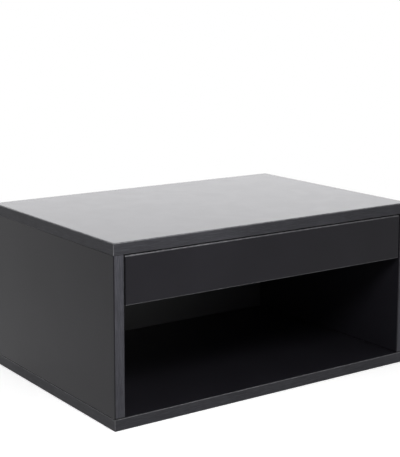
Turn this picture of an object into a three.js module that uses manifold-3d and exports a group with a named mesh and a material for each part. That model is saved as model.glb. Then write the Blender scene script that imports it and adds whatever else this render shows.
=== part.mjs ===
// A floating nightstand: an open box that hangs on a wall, with one inset drawer on telescopic ball runners
// above a niche. Millimetres, +Z up. The front faces -Y, and the origin is the middle of the underside.
import * as THREE from "three";
import { RoundedBoxGeometry } from "three/addons/geometries/RoundedBoxGeometry.js";
import { mergeVertices } from "three/addons/utils/BufferGeometryUtils.js";
import Module from "manifold-3d";

const wasm = await Module();
wasm.setup();

// The whole object
const width = 520;
const depth = 350;
const height = 250;

// Boards of the box. The top and the bottom run over the ends of the sides.
const boardThickness = 16;
const edgeRadius = 1;
const seatGap = 0.2; // hairline between two faces that meet
const cutOverrun = 1; // how far a cutter runs past the face that it opens

// Thin back panel in its groove
const backThickness = 3;
const backInset = 6.4; // from the rear edges of the boards to the panel
const backGrooveDepth = 6;
const grooveGap = 0.3; // all round a thin panel in its groove

// Wooden dowels
const dowelDiameter = 8;
const dowelLength = 30;
const dowelInFace = 11; // how far it stands in the face of the board that the other one ends on
const dowelChamfer = 1;
const dowelGap = 0.25;
const dowelSetback = 50; // from the front and rear edges
const railDowelSpacing = 34;

// Rail behind the drawer, which carries the two hanging plates
const railHeight = 60;

// Steel hanging plates with a keyhole, let in flush at the back of the rail
const plateWidth = 20;
const plateHeight = 50;
const plateThickness = 2;
const plateFromSide = 44; // from a side's inner face to the middle of the plate
const plateScrewSpacing = 38;
const keyholeEntry = 10;
const keyholeSlot = 5.2;
const keyholeRise = 9;
const headPocketDepth = 8; // room behind the plate for the head of the wall screw
const headPocketGap = 1;

// Drawer front
const frontGap = 2; // to the sides and the top
const frontHeight = 66;

// Drawer box
const boxThickness = 12;
const boxSideHeight = 50;
const boxTopClearance = 6;
const dadoDepth = 4;
const boxBackSetback = 8;
const drawerBottomThickness = 3;
const bottomGrooveDepth = 5;
const bottomGrooveHeight = 8; // above the lower edge of the drawer's sides

// Telescopic runners: three members of bent sheet, with balls between them
const runnerRearSpace = 17.8; // behind the runners and the drawer, to the rail
const runnerHeight = 45;
const runnerWidth = 12.7;
const memberSheet = 1.2; // cabinet and drawer members
const middleSheet = 1;
const outerBall = 4;
const innerBall = 3.5;
const raceGap = 0.15; // between a ball and its race
const outerBallAcross = 5.4; // from the cabinet member's back to the ball's centre
const middleWebAcross = 2.6; // to the centre of the middle member's web
const cornerBend = 1.2; // centre line radius of the plain bends
const memberCornerBend = 1;
const raceKinkBend = 0.9;
const cageSheet = 0.5;
const cageLength = 120;
const cageWindowWidth = 7; // openings in a cage's web, between its balls
const cageWindowHeight = 24;
const ballsInRow = 5;
const ballPitch = 24;
const endTabWidth = 14; // tabs bent up from the ends of the middle member's web, which keep the inner cage in
const endTabRise = 3;
const endTabSetback = 3;
const endTabRelief = 1; // open beside each tab's root
const endTabCorner = 1.5;

// Stop at the rear of each cabinet member
const bumperLength = 12;
const bumperHeight = 18;
const bumperThickness = 7;
const bumperProng = 4.5;
const bumperBase = 4.5;
const bumperNose = 1.5;
const bumperLug = 4;
const bumperGap = 0.4;

// Lever that lets the drawer off its runner, on a rivet in the drawer member
const rivetDiameter = 3;
const rivetHead = 5.5;
const rivetHeadHeight = 0.7;
const rivetFromFront = 175;
const leverThickness = 3;
const leverHub = 4;
const leverReach = 44;
const leverPad = 4.5;
const leverGap = 0.3;
const leverTooth = 3.5;
const leverPocketWidth = 3.6;
const leverPocketDepth = 1.1;
const leverPocketInset = 1.5; // from the hub and from the finger pad
const padGrooveWidth = 0.7; // grooves across the finger pad
const padGrooveDepth = 0.45;
const padGrooveLength = 5;
const padGroovePitch = 1.7;
const padGrooves = 4;
const leverHubAngle = 260; // degrees of the hub and of the finger pad that the arm leaves round
const leverPadAngle = 250;

// Holes in the runners
const screwFromFront = 35;
const screwFromRear = 73; // in the cabinet member
const drawerScrewFromRear = 41;
const accessHole = 9;
const slotLength = 12;
const slotWidth = 4.5;
const slotFromFront = 67;
const slotFromRear = 41;

// Races of the runners. Each wraps its ball between two directions from the ball, in degrees from +X.
const cabinetRaceStartAngle = 135;
const cabinetRaceEndAngle = 15;
const middleRaceStartAngle = 250;
const middleRaceEndAngle = 300;
const middleLipAngle = 70; // degrees that the middle member's lip points down
const drawerRaceEndAngle = 225;

// Screws. A head is measured across.
const runnerScrewHead = 7.6;
const runnerScrewHeadHeight = 2;
const runnerScrewShank = 4;
const runnerScrewLength = 13;
const drawerRunnerScrewHead = 7;
const drawerRunnerScrewHeadHeight = 2;
const drawerRunnerScrewShank = 3.5;
const drawerRunnerScrewLength = 12;
const plateScrewHead = 7;
const plateScrewHeadHeight = 1.8;
const plateScrewShank = 3.5;
const plateScrewLength = 13;
const frontScrewHead = 8;
const frontScrewHeadHeight = 2.2;
const frontScrewShank = 4;
const frontScrewLength = 24;
const bottomScrewHead = 6;
const bottomScrewHeadHeight = 1.6;
const bottomScrewShank = 3;
const bottomScrewLength = 17;
const screwPoint = 2.5;
const screwGap = 0.2;
const frontScrewFromSide = 50;
const frontScrewPitch = 96;
const bottomScrewFromSide = 110;

// How finely round shapes are cut
const bendStep = 30; // degrees
const roundSides = 12;
const smallSides = 8; // of screws and dowels
const ballSides = 8;
const ballRings = 5;

const finishes = {
  blackBoard: { color: 0x17171a, roughness: 0.42, metalness: 0 },
  blackPanel: { color: 0x151517, roughness: 0.55, metalness: 0 },
  drawerBoard: { color: 0x1c1c1e, roughness: 0.55, metalness: 0 },
  beech: { color: 0xc49a6c, roughness: 0.7, metalness: 0 },
  zincSteel: { color: 0xb4b8bc, roughness: 0.32, metalness: 1 },
  cageSteel: { color: 0xc9ccd0, roughness: 0.28, metalness: 1 },
  screwSteel: { color: 0xa9adb3, roughness: 0.3, metalness: 1 },
  blackPlastic: { color: 0x121213, roughness: 0.5, metalness: 0 },
};

// Places that several pieces share
const front = -depth / 2;
const rear = depth / 2;
const sideInner = width / 2 - boardThickness;
const underTop = height - boardThickness;
const railTop = underTop - seatGap;
const railBottom = railTop - railHeight;
const railFront = rear - boardThickness;
const railMiddle = (railTop + railBottom) / 2;
const backRear = rear - backInset;
const backFront = backRear - backThickness;
const frontTop = underTop - frontGap;
const frontRear = front + boardThickness;
const boxTop = underTop - boxTopClearance;
const boxBottom = boxTop - boxSideHeight;
const boxMiddle = (boxTop + boxBottom) / 2;
const boxFront = frontRear + seatGap;
const runnerLength = railFront - runnerRearSpace - boxFront;
const boxRear = boxFront + runnerLength;
const boxOuter = sideInner - runnerWidth - 2 * seatGap;
const boxInner = boxOuter - boxThickness;
const drawerBottomLow = boxBottom + bottomGrooveHeight;
const drawerBottomTop = drawerBottomLow + drawerBottomThickness;
const slidingLength = runnerLength - bumperLength - bumperGap; // of the members that close against the bumper
const travel = runnerLength; // of the drawer, while the middle members travel half as far
const ends = [
  { word: "front", y: front + dowelSetback },
  { word: "rear", y: rear - dowelSetback },
];
const sides = [
  { word: "left", sign: -1 },
  { word: "right", sign: 1 },
];
const levels = [
  { word: "lower", sign: -1 },
  { word: "upper", sign: 1 },
];

// Solids

function solidOf(geometry) {
  const bare = geometry.index ? geometry.toNonIndexed() : geometry.clone();
  bare.deleteAttribute("normal");
  bare.deleteAttribute("uv");
  const merged = mergeVertices(bare, 1e-4);
  const corners = merged.index.array;
  const kept = [];
  for (let i = 0; i < corners.length; i += 3) {
    const [a, b, c] = [corners[i], corners[i + 1], corners[i + 2]];
    if (a !== b && b !== c && c !== a) {
      kept.push(a, b, c);
    }
  }
  const mesh = new wasm.Mesh({
    numProp: 3,
    vertProperties: new Float32Array(merged.attributes.position.array),
    triVerts: new Uint32Array(kept),
  });
  return new wasm.Manifold(mesh);
}

function geometryOf(solid) {
  const mesh = solid.getMesh();
  const geometry = new THREE.BufferGeometry();
  geometry.setAttribute("position", new THREE.BufferAttribute(new Float32Array(mesh.vertProperties), 3));
  geometry.setIndex(new THREE.BufferAttribute(new Uint32Array(mesh.triVerts), 1));
  geometry.computeVertexNormals();
  return geometry;
}

function cut(geometry, tools) {
  let solid = solidOf(geometry);
  for (const tool of tools) {
    solid = solid.subtract(solidOf(tool));
  }
  return geometryOf(solid);
}

function join(geometries) {
  const [first, ...rest] = geometries.map(solidOf);
  return geometryOf(rest.reduce((whole, piece) => whole.add(piece), first));
}

// A box between two corners.
function block(low, high) {
  const size = high.map((value, i) => value - low[i]);
  const middle = high.map((value, i) => (value + low[i]) / 2);
  return new THREE.BoxGeometry(...size).translate(...middle);
}

// A board between two corners, with every edge rounded, centred on its own middle.
function boardMesh(name, finish, low, high, tools = [], radius = edgeRadius) {
  const size = high.map((value, i) => value - low[i]);
  const middle = high.map((value, i) => (value + low[i]) / 2);
  const away = middle.map((value) => -value);
  const blank = new RoundedBoxGeometry(...size, 1, Math.min(radius, Math.min(...size) / 3));
  const geometry = cut(blank, tools.map((tool) => tool.clone().translate(...away)));
  return meshOf(name, finish, geometry, middle);
}

function meshOf(name, finish, geometry, place = [0, 0, 0]) {
  const mesh = new THREE.Mesh(geometry, new THREE.MeshStandardMaterial(finishes[finish]));
  mesh.name = name;
  mesh.position.set(...place);
  return mesh;
}

// Turns what is made along +Y, the axis of a lathe, to one of the other directions.
function pointed(geometry, axis) {
  const up = new THREE.Vector3(0, 1, 0);
  const turn = new THREE.Quaternion().setFromUnitVectors(up, new THREE.Vector3(...axis));
  return geometry.applyQuaternion(turn);
}

// A round bar or hole from a point, along an axis.
function rod(diameter, length, start, axis, sidesRound = roundSides) {
  const bar = new THREE.CylinderGeometry(diameter / 2, diameter / 2, length, sidesRound);
  return pointed(bar.translate(0, length / 2, 0), axis).translate(...start);
}

function extruded(shape, length) {
  const settings = { depth: length, bevelEnabled: false, curveSegments: roundSides / 2 };
  return new THREE.ExtrudeGeometry(shape, settings);
}

// An outline in the YZ plane, made solid from x = low to x = high.
function acrossX(shape, low, high) {
  // The shape's own x and y become Y and Z, and its depth becomes X.
  const turn = new THREE.Matrix4().makeBasis(
    new THREE.Vector3(0, 1, 0),
    new THREE.Vector3(0, 0, 1),
    new THREE.Vector3(1, 0, 0),
  );
  return extruded(shape, high - low).applyMatrix4(turn).translate(low, 0, 0);
}

// An outline in the XZ plane, made solid from y = low to y = high.
function acrossY(shape, low, high) {
  return extruded(shape, high - low).rotateX(Math.PI / 2).translate(0, high, 0);
}

// Screws and dowels

// A countersunk head lies flush, and a pan head stands on its face.
const runnerScrew = {
  head: runnerScrewHead,
  headHeight: runnerScrewHeadHeight,
  shank: runnerScrewShank,
  length: runnerScrewLength,
  countersunk: true,
};
const drawerRunnerScrew = {
  head: drawerRunnerScrewHead,
  headHeight: drawerRunnerScrewHeadHeight,
  shank: drawerRunnerScrewShank,
  length: drawerRunnerScrewLength,
  countersunk: false,
};
const plateScrew = {
  head: plateScrewHead,
  headHeight: plateScrewHeadHeight,
  shank: plateScrewShank,
  length: plateScrewLength,
  countersunk: true,
};
const frontScrew = {
  head: frontScrewHead,
  headHeight: frontScrewHeadHeight,
  shank: frontScrewShank,
  length: frontScrewLength,
  countersunk: false,
};
const bottomScrew = {
  head: bottomScrewHead,
  headHeight: bottomScrewHeadHeight,
  shank: bottomScrewShank,
  length: bottomScrewLength,
  countersunk: false,
};

// A screw with its head's face at the start and its point along the axis. Grown, it is the screw's hole.
function screwBody(screw, start, axis, grown = 0) {
  const headRadius = screw.head / 2 + grown;
  const shankRadius = screw.shank / 2 + grown;
  const top = grown ? -cutOverrun : 0;
  const rim = screw.countersunk ? grown : screw.headHeight + grown;
  const neck = screw.headHeight + grown;
  const end = screw.length + grown;
  const profile = [
    [0, top],
    [headRadius, top],
    [headRadius, rim],
    [shankRadius, neck],
    [shankRadius, end - screwPoint],
    [shankRadius / 3, end],
    [0, end],
  ];
  const points = profile.map(([radius, along]) => new THREE.Vector2(radius, along));
  const distinct = points.filter((point, i) => i === 0 || point.distanceTo(points[i - 1]) > 0);
  return pointed(new THREE.LatheGeometry(distinct, smallSides), axis).translate(...start);
}

function dowelBody(middle, axis) {
  const half = dowelLength / 2;
  const radius = dowelDiameter / 2;
  const profile = [
    [0, -half],
    [radius - dowelChamfer, -half],
    [radius, -half + dowelChamfer],
    [radius, half - dowelChamfer],
    [radius - dowelChamfer, half],
    [0, half],
  ];
  const points = profile.map(([across, along]) => new THREE.Vector2(across, along));
  return pointed(new THREE.LatheGeometry(points, smallSides), axis).translate(...middle);
}

// One long hole for a dowel, which both of its boards are cut by.
function dowelHole(middle, axis) {
  const length = dowelLength + 2 * dowelGap;
  const start = middle.map((value, i) => value - (axis[i] * length) / 2);
  return rod(dowelDiameter + 2 * dowelGap, length, start, axis, smallSides);
}

// Box of the nightstand

// Dowels stand upright between a side and the top or bottom, and lie along X between a side and the rail.
const faceToMiddle = dowelLength / 2 - dowelInFace; // from the joint to the dowel's middle
const carcassDowels = [];
const railDowels = [];
for (const side of sides) {
  for (const end of ends) {
    const x = side.sign * (width / 2 - boardThickness / 2);
    carcassDowels.push({
      name: `dowel_bottom_${side.word}_${end.word}`,
      middle: [x, end.y, boardThickness + faceToMiddle],
      axis: [0, 0, 1],
    });
    carcassDowels.push({
      name: `dowel_top_${side.word}_${end.word}`,
      middle: [x, end.y, underTop - faceToMiddle],
      axis: [0, 0, 1],
    });
  }
  for (const level of levels) {
    railDowels.push({
      name: `dowel_rail_${side.word}_${level.word}`,
      middle: [
        side.sign * (sideInner - faceToMiddle),
        rear - boardThickness / 2,
        railMiddle + (level.sign * railDowelSpacing) / 2,
      ],
      axis: [1, 0, 0],
    });
  }
}
const dowels = [...carcassDowels, ...railDowels];
const carcassDowelHoles = carcassDowels.map((dowel) => dowelHole(dowel.middle, dowel.axis));
const railDowelHoles = railDowels.map((dowel) => dowelHole(dowel.middle, dowel.axis));

// The groove that holds the thin back on all four sides, and the panel in it.
const grooveOuter = sideInner + backGrooveDepth;
const grooveBottom = boardThickness - backGrooveDepth;
const grooveTop = railBottom + backGrooveDepth;
const backGroove = block(
  [-grooveOuter, backFront - grooveGap, grooveBottom],
  [grooveOuter, backRear + grooveGap, grooveTop],
);
const backPanel = meshOf(
  "back_panel",
  "blackPanel",
  block(
    [-grooveOuter + grooveGap, backFront, grooveBottom + grooveGap],
    [grooveOuter - grooveGap, backRear, grooveTop - grooveGap],
  ),
);

// The screws that hold the cabinet members to the sides
const cabinetHoleYs = [screwFromFront, runnerLength - screwFromRear]; // from the runner's front end
const runnerScrewYs = cabinetHoleYs.map((y) => boxFront + y);
function runnerScrewAt(side, y) {
  const face = side.sign * (sideInner - seatGap - memberSheet);
  return { start: [face, y, boxMiddle], axis: [side.sign, 0, 0] };
}

const topPanel = boardMesh(
  "top_panel",
  "blackBoard",
  [-width / 2, front, underTop],
  [width / 2, rear, height],
  carcassDowelHoles,
);
const bottomPanel = boardMesh(
  "bottom_panel",
  "blackBoard",
  [-width / 2, front, 0],
  [width / 2, rear, boardThickness],
  [...carcassDowelHoles, backGroove],
);
const sidePanels = sides.map((side) => {
  const faces = [side.sign * (width / 2), side.sign * sideInner].sort((a, b) => a - b);
  const screwHoles = runnerScrewYs.map((y) => {
    const { start, axis } = runnerScrewAt(side, y);
    return screwBody(runnerScrew, start, axis, screwGap);
  });
  return boardMesh(
    `side_panel_${side.word}`,
    "blackBoard",
    [faces[0], front, boardThickness + seatGap],
    [faces[1], rear, underTop - seatGap],
    [...carcassDowelHoles, ...railDowelHoles, backGroove, ...screwHoles],
  );
});

// Hanging plates

const plates = sides.map((side) => ({ ...side, x: side.sign * (sideInner - plateFromSide) }));
const plateScrewSpots = levels.map(({ word, sign }) => ({
  word,
  height: railMiddle + (sign * plateScrewSpacing) / 2,
}));
const intoRail = [0, -1, 0];

// A shape with two parallel edges and round ends, upright, about its own middle.
function capsule(wide, tall, middleX, middleY) {
  const radius = wide / 2;
  const rise = tall / 2 - radius;
  const shape = new THREE.Shape();
  shape.absarc(middleX, middleY + rise, radius, 0, Math.PI, false);
  shape.absarc(middleX, middleY - rise, radius, Math.PI, 2 * Math.PI, false);
  shape.closePath();
  return shape;
}

// The round entry for a screw's head, and the narrow slot above it for the screw's neck.
function keyholeCuts(x, low, high) {
  const entry = rod(keyholeEntry, high - low, [x, low, railMiddle - keyholeRise / 2], [0, 1, 0]);
  const slot = capsule(keyholeSlot, keyholeRise + keyholeSlot, x, railMiddle);
  return [entry, acrossY(slot, low, high)];
}

// Room in the rail for the head to rise behind the slot.
function headPocket(x, low, high) {
  const pocketWidth = keyholeEntry + 2 * headPocketGap;
  return acrossY(capsule(pocketWidth, keyholeRise + pocketWidth, x, railMiddle), low, high);
}

const plateFace = rear - seatGap; // the plates lie a hair below the rail's face
const plateInner = plateFace - plateThickness;
const plateScrewHoles = (plate) =>
  plateScrewSpots.map((spot) => screwBody(plateScrew, [plate.x, plateFace, spot.height], intoRail, screwGap));
const plateMeshes = plates.map((plate) => {
  const blank = acrossY(capsule(plateWidth, plateHeight, plate.x, railMiddle), plateInner, plateFace);
  const keyhole = keyholeCuts(plate.x, plateInner - cutOverrun, plateFace + cutOverrun);
  const geometry = cut(blank, [...keyhole, ...plateScrewHoles(plate)]);
  return meshOf(`hanging_plate_${plate.word}`, "zincSteel", geometry);
});
const plateScrews = plates.flatMap((plate) =>
  plateScrewSpots.map((spot) => {
    const body = screwBody(plateScrew, [plate.x, plateFace, spot.height], intoRail);
    return meshOf(`plate_screw_${plate.word}_${spot.word}`, "screwSteel", body);
  }),
);

const railTools = plates.flatMap((plate) => [
  acrossY(
    capsule(plateWidth + 2 * seatGap, plateHeight + 2 * seatGap, plate.x, railMiddle),
    plateInner - seatGap,
    rear + cutOverrun,
  ),
  headPocket(plate.x, plateInner - headPocketDepth, rear),
  ...plateScrewHoles(plate),
]);
const hangingRail = boardMesh(
  "hanging_rail",
  "blackBoard",
  [-sideInner + seatGap, railFront, railBottom],
  [sideInner - seatGap, rear, railTop],
  [...railDowelHoles, backGroove, ...railTools],
);

// Drawer

const innerFrontRear = boxFront + boxThickness;
const intoFront = [0, -1, 0];
const frontScrewPlaces = sides.flatMap((side) =>
  ["outer", "inner"].map((word, i) => ({
    name: `front_screw_${side.word}_${word}`,
    start: [
      side.sign * (boxInner - frontScrewFromSide - i * frontScrewPitch),
      innerFrontRear + frontScrew.headHeight,
      boxMiddle,
    ],
  })),
);
const frontScrewHoles = frontScrewPlaces.map(({ start }) =>
  screwBody(frontScrew, start, intoFront, screwGap),
);
const frontScrews = frontScrewPlaces.map(({ name, start }) =>
  meshOf(name, "screwSteel", screwBody(frontScrew, start, intoFront)),
);

const drawerFront = boardMesh(
  "drawer_front",
  "blackBoard",
  [-sideInner + frontGap, front, frontTop - frontHeight],
  [sideInner - frontGap, frontRear, frontTop],
  frontScrewHoles,
);

const dadoReach = boxInner + dadoDepth; // the inner front and the back end this far into the sides
const backBoardRear = boxRear - boxBackSetback;
const backBoardFront = backBoardRear - boxThickness;
const bottomReach = boxInner + bottomGrooveDepth;
const bottomGrooveFront = innerFrontRear - bottomGrooveDepth;
const bottomGroove = block(
  [-bottomReach, bottomGrooveFront, drawerBottomLow - seatGap],
  [bottomReach, boxRear + cutOverrun, drawerBottomTop + seatGap],
);
const frontDado = block(
  [-dadoReach, boxFront - cutOverrun, boxBottom - cutOverrun],
  [dadoReach, innerFrontRear + seatGap, boxTop + cutOverrun],
);
const backDado = block(
  [-dadoReach, backBoardFront - seatGap, drawerBottomLow - seatGap],
  [dadoReach, backBoardRear + seatGap, boxTop + cutOverrun],
);

const drawerHoleYs = [screwFromFront, runnerLength - drawerScrewFromRear]; // from the runner's front end
const drawerScrewYs = drawerHoleYs.map((y) => boxFront + y);
function drawerScrewAt(side, y) {
  const face = side.sign * (boxOuter + seatGap + memberSheet + drawerRunnerScrew.headHeight);
  return { start: [face, y, boxMiddle], axis: [-side.sign, 0, 0] };
}

const drawerSides = sides.map((side) => {
  const faces = [side.sign * boxOuter, side.sign * boxInner].sort((a, b) => a - b);
  const screwHoles = drawerScrewYs.map((y) => {
    const { start, axis } = drawerScrewAt(side, y);
    return screwBody(drawerRunnerScrew, start, axis, screwGap);
  });
  return boardMesh(
    `drawer_side_${side.word}`,
    "drawerBoard",
    [faces[0], boxFront, boxBottom],
    [faces[1], boxRear, boxTop],
    [bottomGroove, frontDado, backDado, ...screwHoles],
    edgeRadius / 2,
  );
});
const innerFront = boardMesh(
  "drawer_inner_front",
  "drawerBoard",
  [-dadoReach + seatGap, boxFront, boxBottom],
  [dadoReach - seatGap, innerFrontRear, boxTop],
  [bottomGroove, ...frontScrewHoles],
  edgeRadius / 2,
);

const bottomScrewPlaces = sides.map((side) => ({
  name: `bottom_screw_${side.word}`,
  start: [
    side.sign * (boxInner - bottomScrewFromSide),
    (backBoardFront + backBoardRear) / 2,
    drawerBottomLow - bottomScrew.headHeight,
  ],
}));
const intoBack = [0, 0, 1];
const bottomScrewHoles = bottomScrewPlaces.map(({ start }) =>
  screwBody(bottomScrew, start, intoBack, screwGap),
);
const bottomScrews = bottomScrewPlaces.map(({ name, start }) =>
  meshOf(name, "screwSteel", screwBody(bottomScrew, start, intoBack)),
);
const drawerBack = boardMesh(
  "drawer_back",
  "drawerBoard",
  [-dadoReach + seatGap, backBoardFront, drawerBottomTop + seatGap],
  [dadoReach - seatGap, backBoardRear, boxTop],
  bottomScrewHoles,
  edgeRadius / 2,
);
const drawerBottom = meshOf(
  "drawer_bottom",
  "blackPanel",
  cut(
    block(
      [-bottomReach + grooveGap, bottomGrooveFront + grooveGap, drawerBottomLow],
      [bottomReach - grooveGap, boxRear, drawerBottomTop],
    ),
    bottomScrewHoles,
  ),
);

// Runners. Each is drawn for the left side: x from its back, y from its front end, z from its middle.

const quarter = 90; // degrees
const threeQuarters = 3 * quarter;

// A strip of sheet seen end on, bent step by step from the middle of its upright web to its lip.
class BentStrip {
  constructor(across) {
    this.at = new THREE.Vector2(across, 0);
    this.heading = THREE.MathUtils.degToRad(quarter);
    this.samples = [];
    this.mark();
  }

  mark() {
    const leftward = new THREE.Vector2(-Math.sin(this.heading), Math.cos(this.heading));
    this.samples.push({ at: this.at.clone(), leftward });
  }

  straight(length) {
    this.at.add(new THREE.Vector2(Math.cos(this.heading), Math.sin(this.heading)).multiplyScalar(length));
    this.mark();
    return this;
  }

  // Positive degrees turn left.
  bend(radius, degrees) {
    const steps = Math.ceil(Math.abs(degrees) / bendStep);
    const turn = THREE.MathUtils.degToRad(degrees / steps);
    const toCentre = Math.sign(degrees) * radius;
    for (let i = 0; i < steps; i++) {
      const leftward = new THREE.Vector2(-Math.sin(this.heading), Math.cos(this.heading));
      const centre = this.at.clone().add(leftward.multiplyScalar(toCentre));
      this.at.rotateAround(centre, turn);
      this.heading += turn;
      this.mark();
    }
    return this;
  }

  // The strip and its mirror image below, with a thickness, as one closed outline.
  outline(thickness) {
    const below = this.samples.slice(1).reverse();
    const mirrored = below.map(({ at, leftward }) => ({
      at: new THREE.Vector2(at.x, -at.y),
      leftward: new THREE.Vector2(leftward.x, -leftward.y),
    }));
    const line = [...mirrored, ...this.samples.slice(1)];
    const edge = (offset) => line.map(({ at, leftward }) => at.clone().addScaledVector(leftward, offset));
    return new THREE.Shape([...edge(thickness / 2), ...edge(-thickness / 2).reverse()]);
  }
}

const sin = (degrees) => Math.sin(THREE.MathUtils.degToRad(degrees));
const cos = (degrees) => Math.cos(THREE.MathUtils.degToRad(degrees));

// Where the balls run
const outerBallAt = new THREE.Vector2(
  outerBallAcross,
  runnerHeight / 2 - memberSheet - raceGap - outerBall / 2,
);
const cabinetRace = outerBall / 2 + raceGap + memberSheet / 2;
const middleOuterRace = outerBall / 2 + raceGap + middleSheet / 2;
const middleInnerRace = innerBall / 2 + raceGap + middleSheet / 2;
const drawerRace = innerBall / 2 + raceGap + memberSheet / 2;
const raceTurn = middleRaceEndAngle - threeQuarters; // the strip's slope where it passes between the races
const innerBallAt = new THREE.Vector2(
  outerBallAt.x + middleOuterRace * cos(middleRaceEndAngle) - middleInnerRace * cos(quarter + raceTurn),
  outerBallAt.y + middleOuterRace * sin(middleRaceEndAngle) - middleInnerRace * sin(quarter + raceTurn),
);

function cabinetMemberOutline() {
  const entryTurn = 2 * quarter - cabinetRaceStartAngle;
  const entry = new THREE.Vector2(
    outerBallAt.x + cabinetRace * cos(cabinetRaceStartAngle),
    outerBallAt.y + cabinetRace * sin(cabinetRaceStartAngle),
  );
  const flange = entry.y - raceKinkBend * (1 - cos(entryTurn));
  const flangeRun = entry.x - raceKinkBend * sin(entryTurn) - memberSheet / 2 - cornerBend;
  return new BentStrip(memberSheet / 2)
    .straight(flange - cornerBend)
    .bend(cornerBend, -quarter)
    .straight(flangeRun)
    .bend(raceKinkBend, entryTurn)
    .bend(cabinetRace, cabinetRaceEndAngle - cabinetRaceStartAngle)
    .outline(memberSheet);
}

function middleMemberOutline() {
  const slope = middleRaceStartAngle - threeQuarters; // where the strip meets the outer race
  const meets = new THREE.Vector2(
    outerBallAt.x + middleOuterRace * cos(middleRaceStartAngle),
    outerBallAt.y + middleOuterRace * sin(middleRaceStartAngle),
  );
  const bendReach = memberCornerBend * (1 - sin(slope));
  const ramp = (meets.x - middleWebAcross - bendReach) / cos(slope);
  const webHeight = meets.y - ramp * sin(slope) - memberCornerBend * cos(slope);
  return new BentStrip(middleWebAcross)
    .straight(webHeight)
    .bend(memberCornerBend, slope - quarter)
    .straight(ramp)
    .bend(middleOuterRace, middleRaceEndAngle - middleRaceStartAngle)
    .bend(middleInnerRace, -middleLipAngle - raceTurn)
    .outline(middleSheet);
}

function drawerMemberOutline() {
  const webAcross = runnerWidth - memberSheet / 2;
  const meets = new THREE.Vector2(
    innerBallAt.x + drawerRace * cos(middleRaceEndAngle),
    innerBallAt.y + drawerRace * sin(middleRaceEndAngle),
  );
  const bendReach = memberCornerBend * (1 + sin(raceTurn));
  const ramp = (webAcross - bendReach - meets.x) / cos(raceTurn);
  const webHeight = meets.y + ramp * sin(raceTurn) - memberCornerBend * cos(raceTurn);
  return new BentStrip(webAcross)
    .straight(webHeight)
    .bend(memberCornerBend, quarter + raceTurn)
    .straight(ramp)
    .bend(drawerRace, drawerRaceEndAngle - middleRaceEndAngle)
    .outline(memberSheet);
}

// A cage rolls half as far as its two members move apart. Once the drawer is right out, it is in the middle
// of the length that they still share.
const cageStart = travel / 4 + (slidingLength - travel / 2 - cageLength) / 2;

// A cage is a strip bent to a channel, with the two rows of balls that it keeps apart.
function cageBody(webAcross, ballAt, ballDiameter, reach) {
  const strip = new BentStrip(webAcross)
    .straight(ballAt.y - cageSheet)
    .bend(cageSheet, -quarter)
    .straight(reach - webAcross - cageSheet)
    .outline(cageSheet);
  const balls = [];
  const firstBall = (cageLength - (ballsInRow - 1) * ballPitch) / 2;
  for (let i = 0; i < ballsInRow; i++) {
    for (const sign of [-1, 1]) {
      const ball = new THREE.SphereGeometry(ballDiameter / 2, ballSides, ballRings).rotateX(Math.PI / 2);
      balls.push(ball.translate(ballAt.x, cageStart + firstBall + i * ballPitch, sign * ballAt.y));
    }
  }
  const windows = [];
  for (let i = 1; i < ballsInRow; i++) {
    const middle = cageStart + firstBall + i * ballPitch - ballPitch / 2;
    windows.push(
      block(
        [webAcross - cageSheet, middle - cageWindowWidth / 2, -cageWindowHeight / 2],
        [webAcross + cageSheet, middle + cageWindowWidth / 2, cageWindowHeight / 2],
      ),
    );
  }
  return cut(join([acrossY(strip, cageStart, cageStart + cageLength), ...balls]), windows);
}

// An outline with round ends that lies along the runner, from one Y to another.
function lyingCapsule(start, end, width) {
  const shape = new THREE.Shape();
  const radius = width / 2;
  shape.absarc(end - radius, 0, radius, -Math.PI / 2, Math.PI / 2, false);
  shape.absarc(start + radius, 0, radius, Math.PI / 2, (3 * Math.PI) / 2, false);
  shape.closePath();
  return shape;
}

function slotAcrossWeb(y, across) {
  const shape = lyingCapsule(y - slotLength / 2, y + slotLength / 2, slotWidth);
  return acrossX(shape, across - cutOverrun - memberSheet, across + cutOverrun + memberSheet);
}

const inward = [1, 0, 0];
const outward = [-1, 0, 0];
const throughSheet = memberSheet + 2 * cutOverrun;
const bumperStart = runnerLength - bumperLength;
const bumperLugY = runnerLength - bumperBase;
const bumperLow = memberSheet + seatGap;

function cabinetMember() {
  const member = acrossY(cabinetMemberOutline(), 0, runnerLength);
  const screwHoles = cabinetHoleYs.map((y) => screwBody(runnerScrew, [memberSheet, y, 0], outward, screwGap));
  const lugHole = rod(bumperLug + 2 * screwGap, throughSheet, [-cutOverrun, bumperLugY, 0], inward);
  const slots = [slotFromFront, runnerLength - slotFromRear].map((y) => slotAcrossWeb(y, memberSheet / 2));
  return cut(member, [...screwHoles, lugHole, ...slots]);
}

// The tab stands where the web's end was, and the bend leaves a notch in front of it.
function endTabOutline() {
  const back = middleWebAcross - middleSheet / 2;
  const top = back + middleSheet + endTabRise;
  const half = endTabWidth / 2;
  return new THREE.Shape([
    new THREE.Vector2(back, -half),
    new THREE.Vector2(top - endTabCorner, -half),
    new THREE.Vector2(top, -half + endTabCorner),
    new THREE.Vector2(top, half - endTabCorner),
    new THREE.Vector2(top - endTabCorner, half),
    new THREE.Vector2(back, half),
  ]);
}

function middleMember() {
  const member = acrossY(middleMemberOutline(), 0, slidingLength);
  const start = middleWebAcross - middleSheet;
  const holes = cabinetHoleYs.map((y) => rod(accessHole, 2 * middleSheet, [start, y, 0], inward));
  const notchHalf = endTabWidth / 2 + endTabRelief;
  const notches = [
    [-cutOverrun, endTabSetback],
    [slidingLength - endTabSetback, slidingLength + cutOverrun],
  ].map(([low, high]) => block([start, low, -notchHalf], [start + 2 * middleSheet, high, notchHalf]));
  const tabs = [endTabSetback, slidingLength - endTabSetback - middleSheet].map((y) =>
    acrossY(endTabOutline(), y, y + middleSheet),
  );
  return join([cut(member, [...holes, ...notches]), ...tabs]);
}

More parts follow.
